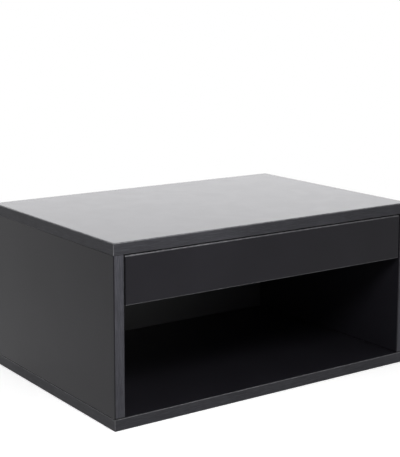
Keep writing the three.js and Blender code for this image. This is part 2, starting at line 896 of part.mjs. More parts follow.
const rivetInner = runnerWidth - memberSheet - leverGap - leverThickness - leverGap; // under the rivet's head

function drawerMember() {
  const member = acrossY(drawerMemberOutline(), 0, slidingLength);
  const web = runnerWidth - memberSheet;
  const holeSize = drawerRunnerScrew.shank + 2 * screwGap;
  const screwHoles = drawerHoleYs.map((y) =>
    rod(holeSize, throughSheet, [web - cutOverrun, y, 0], inward, smallSides),
  );
  const slot = slotAcrossWeb(slotFromFront, web + memberSheet / 2);
  const shankLength = web - rivetInner + memberSheet / 2;
  const shank = rod(rivetDiameter, shankLength, [rivetInner, rivetFromFront, 0], inward);
  const head = rod(rivetHead, rivetHeadHeight, [rivetInner - rivetHeadHeight, rivetFromFront, 0], inward);
  return join([cut(member, [...screwHoles, slot]), shank, head]);
}

// The lever reaches forward from its rivet to a finger pad, and its tooth behind catches the middle member.
function releaseLever() {
  const low = rivetInner + leverGap;
  const high = low + leverThickness;
  const hubTurn = THREE.MathUtils.degToRad(leverHubAngle / 2);
  const padTurn = THREE.MathUtils.degToRad(leverPadAngle / 2);
  const arm = new THREE.Shape();
  arm.absarc(rivetFromFront, 0, leverHub, -hubTurn, hubTurn, false);
  arm.absarc(rivetFromFront - leverReach, 0, leverPad, Math.PI - padTurn, Math.PI + padTurn, false);
  arm.closePath();
  const tooth = new THREE.Shape([
    new THREE.Vector2(rivetFromFront, 0),
    new THREE.Vector2(rivetFromFront + leverHub + leverTooth, 0),
    new THREE.Vector2(rivetFromFront + leverHub + leverTooth, leverHub),
    new THREE.Vector2(rivetFromFront + leverHub, leverHub + leverTooth),
    new THREE.Vector2(rivetFromFront, leverHub - leverGap),
  ]);
  const bore = rod(
    rivetDiameter + 2 * leverGap,
    leverThickness + 2 * cutOverrun,
    [low - cutOverrun, rivetFromFront, 0],
    inward,
  );
  const padMiddle = rivetFromFront - leverReach;
  const pocket = acrossX(
    lyingCapsule(
      padMiddle + leverPad + leverPocketInset,
      rivetFromFront - leverHub - leverPocketInset,
      leverPocketWidth,
    ),
    low - cutOverrun,
    low + leverPocketDepth,
  );
  const grooves = [];
  for (let i = 0; i < padGrooves; i++) {
    const middle = padMiddle + (i - (padGrooves - 1) / 2) * padGroovePitch;
    grooves.push(
      block(
        [low - cutOverrun, middle - padGrooveWidth / 2, -padGrooveLength / 2],
        [low + padGrooveDepth, middle + padGrooveWidth / 2, padGrooveLength / 2],
      ),
    );
  }
  return cut(join([acrossX(arm, low, high), acrossX(tooth, low, high)]), [bore, pocket, ...grooves]);
}

// A fork of plastic that cushions the drawer as it closes, held by a lug in the cabinet member.
function rearBumper() {
  const half = bumperHeight / 2;
  const inside = half - bumperProng;
  const root = runnerLength - bumperBase;
  const shape = new THREE.Shape([
    new THREE.Vector2(runnerLength, -half),
    new THREE.Vector2(runnerLength, half),
    new THREE.Vector2(bumperStart + bumperNose, half),
    new THREE.Vector2(bumperStart, half - bumperNose),
    new THREE.Vector2(bumperStart, inside + bumperNose),
    new THREE.Vector2(bumperStart + bumperNose, inside),
    new THREE.Vector2(root, inside),
    new THREE.Vector2(root, -inside),
    new THREE.Vector2(bumperStart + bumperNose, -inside),
    new THREE.Vector2(bumperStart, -inside - bumperNose),
    new THREE.Vector2(bumperStart, -half + bumperNose),
    new THREE.Vector2(bumperStart + bumperNose, -half),
  ]);
  const lug = rod(bumperLug, memberSheet + bumperThickness / 2, [seatGap, bumperLugY, 0], inward);
  return join([acrossX(shape, bumperLow, bumperLow + bumperThickness), lug]);
}

// The cages' webs run midway between the sheets on either side of them.
const outerCageWeb = (memberSheet + middleWebAcross - middleSheet / 2) / 2;
const drawerLip = innerBallAt.x + drawerRace * cos(drawerRaceEndAngle) - memberSheet / 2;
const innerCageWeb = (middleWebAcross + middleSheet / 2 + drawerLip) / 2;
const outerCageReach = outerBallAt.x + outerBall / 2 + memberSheet / 2;
const innerCageReach = innerBallAt.x + innerBall / 2 + memberSheet / 2;

function runner(side) {
  const group = new THREE.Group();
  // The right runner is the left one turned over, so its lever works the other way up, as on a real pair.
  group.rotation.y = side.sign < 0 ? 0 : Math.PI;
  group.position.set(side.sign * (sideInner - seatGap), boxFront, boxMiddle);
  group.add(
    meshOf(`runner_cabinet_member_${side.word}`, "zincSteel", cabinetMember()),
    meshOf(`runner_middle_member_${side.word}`, "zincSteel", middleMember()),
    meshOf(`runner_drawer_member_${side.word}`, "zincSteel", drawerMember()),
    meshOf(
      `outer_ball_cage_${side.word}`,
      "cageSteel",
      cageBody(outerCageWeb, outerBallAt, outerBall, outerCageReach),
    ),
    meshOf(
      `inner_ball_cage_${side.word}`,
      "cageSteel",
      cageBody(innerCageWeb, innerBallAt, innerBall, innerCageReach),
    ),
    meshOf(`release_lever_${side.word}`, "blackPlastic", releaseLever()),
    meshOf(`rear_bumper_${side.word}`, "blackPlastic", rearBumper()),
  );
  return group;
}

const runnerScrews = sides.flatMap((side) =>
  ends.flatMap(({ word }, i) => {
    const cabinet = runnerScrewAt(side, runnerScrewYs[i]);
    const drawer = drawerScrewAt(side, drawerScrewYs[i]);
    const cabinetBody = screwBody(runnerScrew, cabinet.start, cabinet.axis);
    const drawerBody = screwBody(drawerRunnerScrew, drawer.start, drawer.axis);
    return [
      meshOf(`cabinet_runner_screw_${side.word}_${word}`, "screwSteel", cabinetBody),
      meshOf(`drawer_runner_screw_${side.word}_${word}`, "screwSteel", drawerBody),
    ];
  }),
);

const nightstand = new THREE.Group();
nightstand.add(
  topPanel,
  bottomPanel,
  ...sidePanels,
  hangingRail,
  backPanel,
  ...dowels.map((dowel) => meshOf(dowel.name, "beech", dowelBody([0, 0, 0], dowel.axis), dowel.middle)),
  ...plateMeshes,
  ...plateScrews,
  drawerFront,
  innerFront,
  ...drawerSides,
  drawerBack,
  drawerBottom,
  ...frontScrews,
  ...bottomScrews,
  ...sides.map(runner),
  ...runnerScrews,
);

export default nightstand;
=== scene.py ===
import math
import bmesh
import bpy
from mathutils import Matrix, Vector

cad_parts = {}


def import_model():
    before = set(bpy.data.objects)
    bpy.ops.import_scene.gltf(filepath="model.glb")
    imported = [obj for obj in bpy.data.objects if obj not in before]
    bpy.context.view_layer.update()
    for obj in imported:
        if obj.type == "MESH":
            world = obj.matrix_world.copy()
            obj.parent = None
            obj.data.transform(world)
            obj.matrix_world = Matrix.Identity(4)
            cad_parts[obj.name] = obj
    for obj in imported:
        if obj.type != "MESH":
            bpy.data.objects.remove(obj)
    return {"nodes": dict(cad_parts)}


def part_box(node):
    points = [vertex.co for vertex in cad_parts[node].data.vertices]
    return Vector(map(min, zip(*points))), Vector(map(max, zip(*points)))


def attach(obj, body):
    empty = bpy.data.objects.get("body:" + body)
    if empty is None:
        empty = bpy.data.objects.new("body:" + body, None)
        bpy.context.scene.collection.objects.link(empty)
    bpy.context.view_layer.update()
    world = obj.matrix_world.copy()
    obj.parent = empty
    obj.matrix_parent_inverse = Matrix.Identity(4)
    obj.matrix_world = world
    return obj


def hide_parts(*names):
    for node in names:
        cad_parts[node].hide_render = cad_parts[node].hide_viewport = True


# Floating nightstand in satin black board, with one drawer on telescopic ball runners above a niche.
# Lengths are millimetres where nothing else is said. The front faces -Y.

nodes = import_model()["nodes"]
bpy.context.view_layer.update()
mm = 0.001
sides = ("left", "right")

# Camera

cameraView = {
    "position": (-1.007, -1.428, 0.566),  # metres
    "yaw": 35.11,  # degrees to the right of straight ahead
    "pitch": 8.84,  # degrees down
    "roll": 0.1,
    "lens": 92.56,
    "sensor": 36,
    "shift": -0.12,
}


def putInScene(name, data):
    item = bpy.data.objects.new(name, data)
    bpy.context.scene.collection.objects.link(item)
    return item


def makeCamera():
    data = bpy.data.cameras.new("camera")
    data.lens = cameraView["lens"]
    data.sensor_width = cameraView["sensor"]
    data.shift_y = cameraView["shift"]
    camera = putInScene("camera", data)
    yaw, pitch, roll = (math.radians(cameraView[key]) for key in ("yaw", "pitch", "roll"))
    place = Matrix.Translation(cameraView["position"]) @ Matrix.Rotation(-yaw, 4, "Z")
    tilt = Matrix.Rotation(math.pi / 2 - pitch, 4, "X") @ Matrix.Rotation(roll, 4, "Z")
    camera.matrix_world = place @ tilt
    bpy.context.scene.camera = camera


makeCamera()
print("camera done")

# Studio

studio = {
    "floorSize": 14.0,  # metres, as all the studio's sizes are
    "floorDrop": 0.0004,  # under the object
    "floorColour": (0.8, 0.8, 0.8),
    "floorLift": 0.58,  # added where the camera or a reflection sees the floor
    "shadowReach": (0.45, 1.1),  # from here to there the seen floor turns plain white
    "worldLight": 0.28,
    "aim": (0, 0, 0.15),
    "lamps": {
        "overhead": {"at": (0.75, -0.4, 2.5), "size": (1.5, 1.5), "watts": 7},
        "behind": {"at": (0.9, 2.3, 1), "size": (4.4, 1.5), "watts": 42.5, "tint": (0.975, 0.975, 1)},
        "left": {"at": (-3.0, 1.2, 1.6), "size": (1.2, 1.2), "watts": 4.5},
        "front": {"at": (0.3, -2.4, 0.5), "size": (0.8, 0.8), "watts": 0.45},
        "nearCorner": {"at": (-0.32, -0.58, 0.6), "size": (0.2, 0.2), "watts": 3.0},
    },
}


def setInputs(tree, node, inputs):
    # An input is a plain value, a socket, or a node whose first output is meant.
    for key, value in inputs.items():
        if isinstance(value, bpy.types.Node):
            value = value.outputs[0]
        if isinstance(value, bpy.types.NodeSocket):
            tree.links.new(value, node.inputs[key])
        else:
            node.inputs[key].default_value = value


def addNode(tree, kind, inputs=None, **settings):
    node = tree.nodes.new(kind)
    for key, value in settings.items():
        setattr(node, key, value)
    setInputs(tree, node, inputs or {})
    return node


def mathNode(tree, operation, *values):
    return addNode(tree, "ShaderNodeMath", dict(enumerate(values)), operation=operation)


def mapped(tree, value, low, high, toLow=0, toHigh=1, **settings):
    sockets = {"Value": value, "From Min": low, "From Max": high, "To Min": toLow, "To Max": toHigh}
    return addNode(tree, "ShaderNodeMapRange", sockets, **settings)


def objectPlace(tree):
    return addNode(tree, "ShaderNodeTexCoord").outputs["Object"]


def seenDirectly(tree):
    # 1 for what the camera sees, also in a reflection or through glass
    ray = addNode(tree, "ShaderNodeLightPath").outputs
    seen = mathNode(tree, "MAXIMUM", ray["Is Camera Ray"], ray["Is Glossy Ray"])
    return mathNode(tree, "MAXIMUM", seen, ray["Is Transmission Ray"])


def makeStudio():
    world = bpy.data.worlds.new("studioWorld")
    world.use_nodes = True
    tree = world.node_tree
    level = mapped(tree, seenDirectly(tree), 0, 1, studio["worldLight"], 1)
    setInputs(tree, tree.nodes["Background"], {"Color": (1, 1, 1, 1), "Strength": level})
    bpy.context.scene.world = world

    paper = bpy.data.materials.new("floorPaper")
    paper.use_nodes = True
    tree = paper.node_tree
    tree.nodes.clear()
    seen = seenDirectly(tree)
    matt = addNode(tree, "ShaderNodeBsdfDiffuse", {"Color": (*studio["floorColour"], 1)})
    lift = mathNode(tree, "MULTIPLY", seen, studio["floorLift"])
    glow = addNode(tree, "ShaderNodeEmission", {"Strength": lift})
    lit = addNode(tree, "ShaderNodeAddShader", {0: matt, 1: glow})
    distance = addNode(tree, "ShaderNodeVectorMath", {0: objectPlace(tree)}, operation="LENGTH")
    near, far = studio["shadowReach"]
    away = mapped(tree, distance.outputs["Value"], near, far, interpolation_type="SMOOTHSTEP")
    share = mathNode(tree, "MULTIPLY", seen, away)
    white = addNode(tree, "ShaderNodeEmission", {"Strength": 1.0})
    both = addNode(tree, "ShaderNodeMixShader", {0: share, 1: lit, 2: white})
    addNode(tree, "ShaderNodeOutputMaterial", {"Surface": both})

    half = studio["floorSize"] / 2
    square = ((-half, -half), (half, -half), (half, half), (-half, half))
    corners = [(x, y, -studio["floorDrop"]) for x, y in square]
    mesh = bpy.data.meshes.new("floor")
    mesh.from_pydata(corners, [], [(0, 1, 2, 3)])
    mesh.materials.append(paper)
    putInScene("floor", mesh)

    for name, lamp in studio["lamps"].items():
        light = bpy.data.lights.new(name, "AREA")
        light.shape = "RECTANGLE"
        light.size, light.size_y = lamp["size"]
        light.energy = lamp["watts"]
        light.color = lamp.get("tint", (1, 1, 1))
        holder = putInScene(name, light)
        holder.location = lamp["at"]
        aim = Vector(studio["aim"]) - Vector(lamp["at"])
        holder.rotation_euler = aim.to_track_quat("-Z", "Y").to_euler()
        holder.visible_camera = False


makeStudio()
bpy.context.scene.view_settings.view_transform = "Standard"
print("studio done")

# Finishes. A pattern's size is one length, or one each along X, Y and Z.

boardFinishes = {
    "satinBlack": {
        "colour": (0.0112, 0.0106, 0.0136),
        "roughness": 0.32,
        "specular": 0.13,
        "mottle": 0.008,  # how far the roughness wanders
        "grain": 0.7,
        "grainDepth": 0.01,
    },
    "bandLying": {
        "colour": (0.036, 0.036, 0.041),
        "roughness": 0.5,
        "specular": 0.1,
        "mottle": 0.03,
        "grain": (14.0, 14.0, 0.5),
        "grainDepth": 0.02,
        "rubbed": 0.8,  # how much of the painted highlight colour its rounded edges have at most, in patches
    },
    # The sides' band: the same band as the lying one, painted lighter and bluer as painted light on the
    # lit front edges of the sides
    "bandUpright": {
        "colour": (0.058, 0.058, 0.067),
        "roughness": 0.5,
        "specular": 0.06,
        "mottle": 0.03,
        "grain": (0.5, 14.0, 14.0),
        "grainDepth": 0.02,
        "rubbed": 0.5,
    },
    "thinBoard": {
        "colour": (0.010, 0.010, 0.0115),
        "roughness": 0.42,
        "specular": 0.55,
        "mottle": 0.06,
        "grain": 0.9,
        "grainDepth": 0.03,
    },
    "drawerFoil": {
        "colour": (0.020, 0.020, 0.022),
        "roughness": 0.5,
        "specular": 0.35,
        "mottle": 0.06,
        "grain": (9.0, 9.0, 0.7),
        "grainDepth": 0.04,
        "rubbed": 0.35,
    },
}
boardPatterns = {
    "cloud": 90,
    "cloudSpread": 0.14,
    "mottle": 35,
    "grainShare": 0.35,  # of a colour that is so many times as light
    "grainLight": 3,
    # Size, least share and colour of the lighter rounded edges: a painted highlight, patchy like wear
    "worn": 6,
    "leastWorn": 0.4,
    "wornColour": (0.2, 0.2, 0.21),
}
metalFinishes = {
    "zincSteel": {"colour": (0.43, 0.445, 0.47), "roughness": 0.36, "rolled": (0.35, 45.0, 0.35)},
    "zincPlate": {"colour": (0.38, 0.39, 0.41), "roughness": 0.36, "rolled": (0.35, 0.35, 30.0)},
    "cageSteel": {"colour": (0.40, 0.41, 0.42), "roughness": 0.28, "rolled": (0.3, 30.0, 0.3)},
    "screwSteel": {"colour": (0.55, 0.56, 0.57), "roughness": 0.3, "rolled": 0.6},
    "ballSteel": {"colour": (0.72, 0.72, 0.73), "roughness": 0.12, "rolled": 1.4},
}
metalPatterns = {
    "tarnish": 22,
    "yellowish": (1.03, 1.0, 0.92),
    "bluish": (0.93, 0.97, 1.04),
    "streakSpread": 0.12,
    "streakDepth": 0.004,
    "roughnessRange": (0.75, 1.3),  # times a metal's own
    "smudge": 9,
    "smudgeRough": 1.5,
    "edgeReach": 0.3,
    "edgeLight": 1.5,
    "edgeLimit": 0.8,
}
plasticFinish = {
    "colour": (0.02, 0.02, 0.021),
    "cloud": 12,
    "cloudSpread": 0.2,
    "worn": 1.5,
    "wornShare": (0.1, 0.8),
    "wornColour": (0.10, 0.10, 0.105),
    "edgeReach": 0.3,
    "specular": 0.45,
    "roughness": (0.38, 0.56),
    "grain": 0.25,
    "grainDepth": 0.006,
}
beechGrain = {"beechUpright": (0.7, 0.7, 16.0), "beechLying": (16.0, 0.7, 0.7)}
beechFinish = {
    "dark": (0.47, 0.29, 0.16),
    "pale": (0.66, 0.46, 0.29),
    "pores": (0.25, 0.13, 0.06),
    "poreShare": 0.6,
    "grainDepth": 0.03,
}
rawBoardFinish = {
    "chip": (1.6, 1.6, 0.8),
    "dark": (0.17, 0.105, 0.06),
    "pale": (0.45, 0.33, 0.21),
    "gaps": (0.07, 0.045, 0.03),
    "gapDepth": 0.15,
}
softly, clearly = (0.3, 0.7), (0.35, 0.65)  # the range of a noise's values that a change takes up
materials = {}


def startMaterial(name, **sockets):
    # A name for each shader socket, with its words run together
    material = bpy.data.materials.new(name)
    material.use_nodes = True
    shader = material.node_tree.nodes["Principled BSDF"]
    for socket in shader.inputs:
        key = socket.name.replace(" ", "")
        if key in sockets:
            socket.default_value = sockets[key]
    materials[name] = material
    return material.node_tree, shader


def patternPoint(tree, size):
    # The surface's place on the object, in units of the pattern's size
    sizes = size if isinstance(size, tuple) else (size,) * 3
    scale = [1 / (value * mm) for value in sizes]
    return addNode(tree, "ShaderNodeMapping", {"Vector": objectPlace(tree), "Scale": scale})


def noise(tree, size, detail=3.0, distortion=0.0):
    sockets = {"Vector": patternPoint(tree, size), "Scale": 1, "Detail": detail, "Distortion": distortion}
    return addNode(tree, "ShaderNodeTexNoise", sockets)


def blended(tree, share, first, second, mode="MIX"):
    # Two colours, each a triple or a socket
    def paint(colour):
        return colour if isinstance(colour, bpy.types.NodeSocket) else (*colour, 1)

    sockets = {"Factor": share, 6: paint(first), 7: paint(second)}
    return addNode(tree, "ShaderNodeMix", sockets, data_type="RGBA", blend_type=mode).outputs[2]


def finishSurface(tree, shader, colour, height, depth, **inputs):
    # The depth of its relief is millimetres.
    bump = addNode(tree, "ShaderNodeBump", {"Height": height, "Distance": depth * mm, "Strength": 1.0})
    setInputs(tree, shader, {"Base Color": colour, "Normal": bump, **inputs})


def shades(colour, spread):
    return [value * (1 - spread) for value in colour], [value * (1 + spread) for value in colour]


def edgeShare(tree, reach):
    # 1 within so many millimetres of an edge, 0 on the flat
    soft = addNode(tree, "ShaderNodeBevel", {"Radius": reach * mm}, samples=6)
    true = addNode(tree, "ShaderNodeNewGeometry").outputs["True Normal"]
    along = addNode(tree, "ShaderNodeVectorMath", {0: soft, 1: true}, operation="DOT_PRODUCT")
    return mapped(tree, along.outputs["Value"], 0.999, 0.93)


def roundedShare(tree):
    # 1 on a rounded edge of a board, 0 on its flat faces
    normal = addNode(tree, "ShaderNodeTexCoord").outputs["Normal"]
    size = addNode(tree, "ShaderNodeVectorMath", {0: normal}, operation="ABSOLUTE")
    parts = addNode(tree, "ShaderNodeSeparateXYZ", {"Vector": size}).outputs
    most = mathNode(tree, "MAXIMUM", mathNode(tree, "MAXIMUM", parts["X"], parts["Y"]), parts["Z"])
    return mapped(tree, most, 0.995, 0.93)


def makeBoardFinish(name):
    finish, pattern = boardFinishes[name], boardPatterns
    tree, shader = startMaterial(name, SpecularIORLevel=finish["specular"])
    clouds = mapped(tree, noise(tree, pattern["cloud"], 5.0), *softly)
    colour = blended(tree, clouds, *shades(finish["colour"], pattern["cloudSpread"]))
    grain = noise(tree, finish["grain"], 2.0)
    lines = mapped(tree, grain, 0.45, 0.75, 0, pattern["grainShare"])
    colour = blended(tree, lines, colour, [pattern["grainLight"] * value for value in finish["colour"]])
    # Rounded edges lighter in patches: a painted highlight for the light that they catch, patchy like wear
    if "rubbed" in finish:
        most = finish["rubbed"]
        patches = noise(tree, pattern["worn"], 4.0)
        worn = mapped(tree, patches, *clearly, pattern["leastWorn"] * most, most)
        worn = mathNode(tree, "MULTIPLY", roundedShare(tree), worn)
        colour = blended(tree, worn, colour, pattern["wornColour"])
    low, high = finish["roughness"] - finish["mottle"], finish["roughness"] + finish["mottle"]
    rough = mapped(tree, noise(tree, pattern["mottle"], 4.0, 0.6), *softly, low, high)
    finishSurface(tree, shader, colour, grain, finish["grainDepth"], Roughness=rough)


def makeMetalFinish(name):
    # Rolled or drawn zinc plate: fine streaks, a faint bluish and yellowish tarnish, and bright edges
    finish, pattern = metalFinishes[name], metalPatterns
    tree, shader = startMaterial(name, Metallic=1.0)
    streaks = noise(tree, finish["rolled"], 4.0)
    tarnish = mapped(tree, noise(tree, pattern["tarnish"], 4.0, 0.8), *clearly)
    casts = (pattern["yellowish"], pattern["bluish"])
    casts = [[value * part for value, part in zip(finish["colour"], cast)] for cast in casts]
    tone = blended(tree, mapped(tree, streaks, *clearly), *shades((1, 1, 1), pattern["streakSpread"]))
    colour = blended(tree, 1.0, blended(tree, tarnish, *casts), tone, "MULTIPLY")
    bright = [min(pattern["edgeLimit"], pattern["edgeLight"] * value) for value in finish["colour"]]
    colour = blended(tree, edgeShare(tree, pattern["edgeReach"]), colour, bright)
    low, high = (finish["roughness"] * part for part in pattern["roughnessRange"])
    smudges = mapped(tree, noise(tree, pattern["smudge"]), 0.5, 0.75, 1, pattern["smudgeRough"])
    rough = mathNode(tree, "MULTIPLY", mapped(tree, streaks, *softly, low, high), smudges)
    finishSurface(tree, shader, colour, streaks, pattern["streakDepth"], Roughness=rough)


def makeBlackPlastic():
    # Moulded plastic: an eroded mould's fine grain, rubbed smooth and a little pale along its edges
    finish = plasticFinish
    tree, shader = startMaterial("blackPlastic", SpecularIORLevel=finish["specular"])
    grain = noise(tree, finish["grain"], 2.0)
    clouds = mapped(tree, noise(tree, finish["cloud"]), *clearly)
    colour = blended(tree, clouds, *shades(finish["colour"], finish["cloudSpread"]))
    patches = mapped(tree, noise(tree, finish["worn"], 4.0), 0.4, 0.6, *finish["wornShare"])
    worn = mathNode(tree, "MULTIPLY", edgeShare(tree, finish["edgeReach"]), patches)
    colour = blended(tree, worn, colour, finish["wornColour"])
    rough = mapped(tree, grain, *softly, *finish["roughness"])
    finishSurface(tree, shader, colour, grain, finish["grainDepth"], Roughness=rough)


def makeBeech(name):
    # Pores are a third as large as the grain.
    finish, size = beechFinish, beechGrain[name]
    tree, shader = startMaterial(name, SpecularIORLevel=0.3, Roughness=0.62)
    grain = noise(tree, size, 5.0, 0.2)
    colour = blended(tree, mapped(tree, grain, *clearly), finish["dark"], finish["pale"])
    pores = noise(tree, tuple(value / 3 for value in size), 2.0)
    pores = mapped(tree, pores, 0.62, 0.7, 0, finish["poreShare"])
    colour = blended(tree, pores, colour, finish["pores"])
    finishSurface(tree, shader, colour, grain, finish["grainDepth"])


def makeRawBoard():
    # Cut and drilled chipboard under the finish: pressed chips of many browns, with dark gaps
    finish = rawBoardFinish
    tree, shader = startMaterial("rawBoard", SpecularIORLevel=0.2, Roughness=0.8)
    sockets = {"Vector": patternPoint(tree, finish["chip"]), "Scale": 1}
    chips = addNode(tree, "ShaderNodeTexVoronoi", sockets)
    pale = addNode(tree, "ShaderNodeSeparateColor", {"Color": chips.outputs["Color"]})
    colour = blended(tree, pale, finish["dark"], finish["pale"])
    gaps = mapped(tree, chips.outputs["Distance"], 0.45, 0.8, 0, 0.8)
    colour = blended(tree, gaps, colour, finish["gaps"])
    finishSurface(tree, shader, colour, chips.outputs["Distance"], -finish["gapDepth"])


for make, names in (
    (makeBoardFinish, boardFinishes),
    (makeMetalFinish, metalFinishes),
    (makeBeech, beechGrain),
):
    for name in names:
        make(name)
makeBlackPlastic()
makeRawBoard()
print("finishes done")

# Shapes. Their measures are given in millimetres, and they are in metres.

crease = math.radians(32)  # edges that turn more than this stay sharp
over = 1.0  # how far a cutter runs past the face where it starts or ends
near = 1e-3  # places that are closer than this count as one


def boxOf(node):
    return [Vector([round(value / mm, 4) for value in corner]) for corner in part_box(node)]


def block(low, high):
    # To the nearest micrometre, so that faces that should lie in one plane do
    shape = bmesh.new()
    for vert in bmesh.ops.create_cube(shape, size=1)["verts"]:
        corner = [last if place > 0 else first for place, first, last in zip(vert.co, low, high)]
        vert.co = [round(place, 3) * mm for place in corner]
    return shape


def turned(start, aim, profile, around=32):
    # A solid turned about an axis. Its profile has pairs of distance along the aim and radius.
    rotation = Vector(aim).to_track_quat("Z", "Y").to_matrix()
    shape = bmesh.new()
    rings = []
    for distance, radius in profile:
        spin = [2 * math.pi * i / around for i in range(around if radius else 1)]
        points = [Vector((radius * math.cos(a), radius * math.sin(a), distance)) for a in spin]
        rings.append([shape.verts.new((Vector(start) + rotation @ point) * mm) for point in points])
    for one, two in zip(rings, rings[1:]):
        for i in range(around):
            places = ((one, i), (one, i + 1), (two, i + 1), (two, i))
            corners = dict.fromkeys(ring[j % len(ring)] for ring, j in places)
            shape.faces.new(list(corners)).smooth = True
    for ring in (rings[0], rings[-1]):
        if len(ring) > 1:
            shape.faces.new(ring)
    bmesh.ops.recalc_face_normals(shape, faces=shape.faces)
    return shape


def rod(start, end, diameter):
    along = Vector(end) - Vector(start)
    return turned(start, along.normalized(), [(0, diameter / 2), (along.length, diameter / 2)])


def prism(outline, axis, low, high):
    # A flat outline, made solid along X, Y or Z. Its points give the other two, in turn.
    at = "XYZ".index(axis)
    shape = bmesh.new()

    def corner(point, depth):
        return shape.verts.new([place * mm for place in (*point[:at], depth, *point[at:])])

    one, two = ([corner(point, depth) for point in outline] for depth in (low, high))
    for i in range(len(outline)):
        shape.faces.new((one[i - 1], one[i], two[i], two[i - 1])).smooth = True
    for ring in (one, two):
        shape.faces.new(ring)
    bmesh.ops.recalc_face_normals(shape, faces=shape.faces)
    return shape


def rounded(shape, radius, steps=3, **planes):
    # Rounds the edges in some planes: x=(1, 4) are two. With z=(2,) too, only where they meet that one.
    def lies(edge, axis, level):
        return all(abs(getattr(vert.co, axis) / mm - level) < near for vert in edge.verts)

    edges = [
        edge
        for edge in shape.edges
        if all(any(lies(edge, axis, level) for level in levels) for axis, levels in planes.items())
    ]
    size = {"offset": radius * mm, "segments": steps, "profile": 0.5}
    for face in bmesh.ops.bevel(shape, geom=edges, affect="EDGES", **size)["faces"]:
        face.smooth = True
    return shape


def arcPoints(centre, radius, first, last, step=10):
    # Points on an arc, with its angles in degrees
    count = max(2, math.ceil(abs(last - first) / step) + 1)
    angles = [math.radians(first + (last - first) * i / (count - 1)) for i in range(count)]
    return [(centre[0] + radius * math.cos(a), centre[1] + radius * math.sin(a)) for a in angles]


def capsule(centre, wide, tall):
    # An outline with round ends, upright or lying, about its middle
    radius = min(wide, tall) / 2
    run, rise = wide / 2 - radius, tall / 2 - radius
    turn = 0 if tall > wide else -90
    first, last = (centre[0] + run, centre[1] + rise), (centre[0] - run, centre[1] - rise)
    return arcPoints(first, radius, turn, turn + 180) + arcPoints(last, radius, turn + 180, turn + 360)


def markCreases(mesh, angle=crease):
    # Faces that are shaded flat stay so.
    smooth = [face.use_smooth for face in mesh.polygons]
    mesh.set_sharp_from_angle(angle=angle)
    mesh.polygons.foreach_set("use_smooth", smooth)
    return mesh


def finishedMesh(shape, name, sharpFrom=crease):
    mesh = bpy.data.meshes.new(name)
    shape.to_mesh(mesh)
    shape.free()
    return markCreases(mesh, sharpFrom)


def solidPiece(name, shape, finish):
    mesh = finishedMesh(shape, name)
    mesh.materials.append(materials[finish])
    return putInScene(name, mesh)


def evaluatedMesh(piece):
    graph = bpy.context.evaluated_depsgraph_get()
    return bpy.data.meshes.new_from_object(
        piece.evaluated_get(graph), preserve_all_data_layers=True, depsgraph=graph
    )


def carve(piece, shapes, finish, operation="DIFFERENCE"):
    # The finish is that of the surfaces that the shapes leave.
    tools = [solidPiece("tool", shape, finish) for shape in shapes]
    for tool in tools:
        modifier = piece.modifiers.new("cut", "BOOLEAN")
        modifier.object = tool
        modifier.operation = operation
        modifier.solver = "EXACT"
        modifier.material_mode = "TRANSFER"
    mesh = markCreases(evaluatedMesh(piece))
    piece.modifiers.clear()
    piece.data = mesh
    for tool in tools:
        bpy.data.objects.remove(tool)


def seat(piece, body, slot, *replaced):
    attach(piece, body)
    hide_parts(*replaced)


# Screws: sizes, places and the holes that they need. An aim along X is the right side's.

screwKinds = {
    "cabinet_runner_screw": {"head": 7.6, "headHeight": 2.0, "shank": 4.0, "pitch": 1.6, "aim": (1, 0, 0)},
    "drawer_runner_screw": {"head": 7.0, "headHeight": 2.0, "shank": 3.5, "pitch": 1.5, "aim": (-1, 0, 0)},
    "plate_screw": {"head": 7.0, "headHeight": 1.8, "shank": 3.5, "pitch": 1.5, "aim": (0, -1, 0)},
    "front_screw": {"head": 8.0, "headHeight": 2.2, "shank": 4.0, "pitch": 1.8, "aim": (0, -1, 0)},
    "bottom_screw": {"head": 6.0, "headHeight": 1.6, "shank": 3.0, "pitch": 1.3, "aim": (0, 0, 1)},
}
cabinetScrews = ("cabinet_runner_screw", "plate_screw")  # with flush heads. The others hold the drawer.
screwGap = 0.2


def screwsOf(kind, wanted=""):
    # Where each screw of a kind starts, at its head's face, and where it points
    found = []
    for node in sorted(name for name in nodes if name.startswith(kind) and wanted in name):
        low, high = boxOf(node)
        aim = Vector(screwKinds[kind]["aim"])
        if aim.x and "_left" in node:
            aim.x = -aim.x
        length = abs((high - low).dot(aim))
        start = (low + high) / 2 - aim * length / 2
        found.append({"node": node, "start": start, "aim": aim, "length": length})
    return found


def screwHoles(kind, wanted=""):
    size = screwKinds[kind]
    narrow, wide = size["shank"] / 2 + screwGap, size["head"] / 2 + screwGap
    holes = []
    for screw in screwsOf(kind, wanted):
        end = screw["length"] + screwGap
        profile = [(-over, narrow), (end, narrow)]
        if kind in cabinetScrews:
            sunk = size["headHeight"] + screwGap
            profile = [(-over, wide), (screwGap, wide), (sunk, narrow), (end, narrow)]
        holes.append(turned(screw["start"], screw["aim"], profile))
    return holes


# Boards. "edge" is the radius of a board's edges, "lowEdge" and "highEdge" that of its lowest and highest
# ones. Another key says which rounded edges take the band with its painted highlight: all of them, the
# lying ones or none. The others keep the face's darker colour, which paints a dark line of shade along
# them.

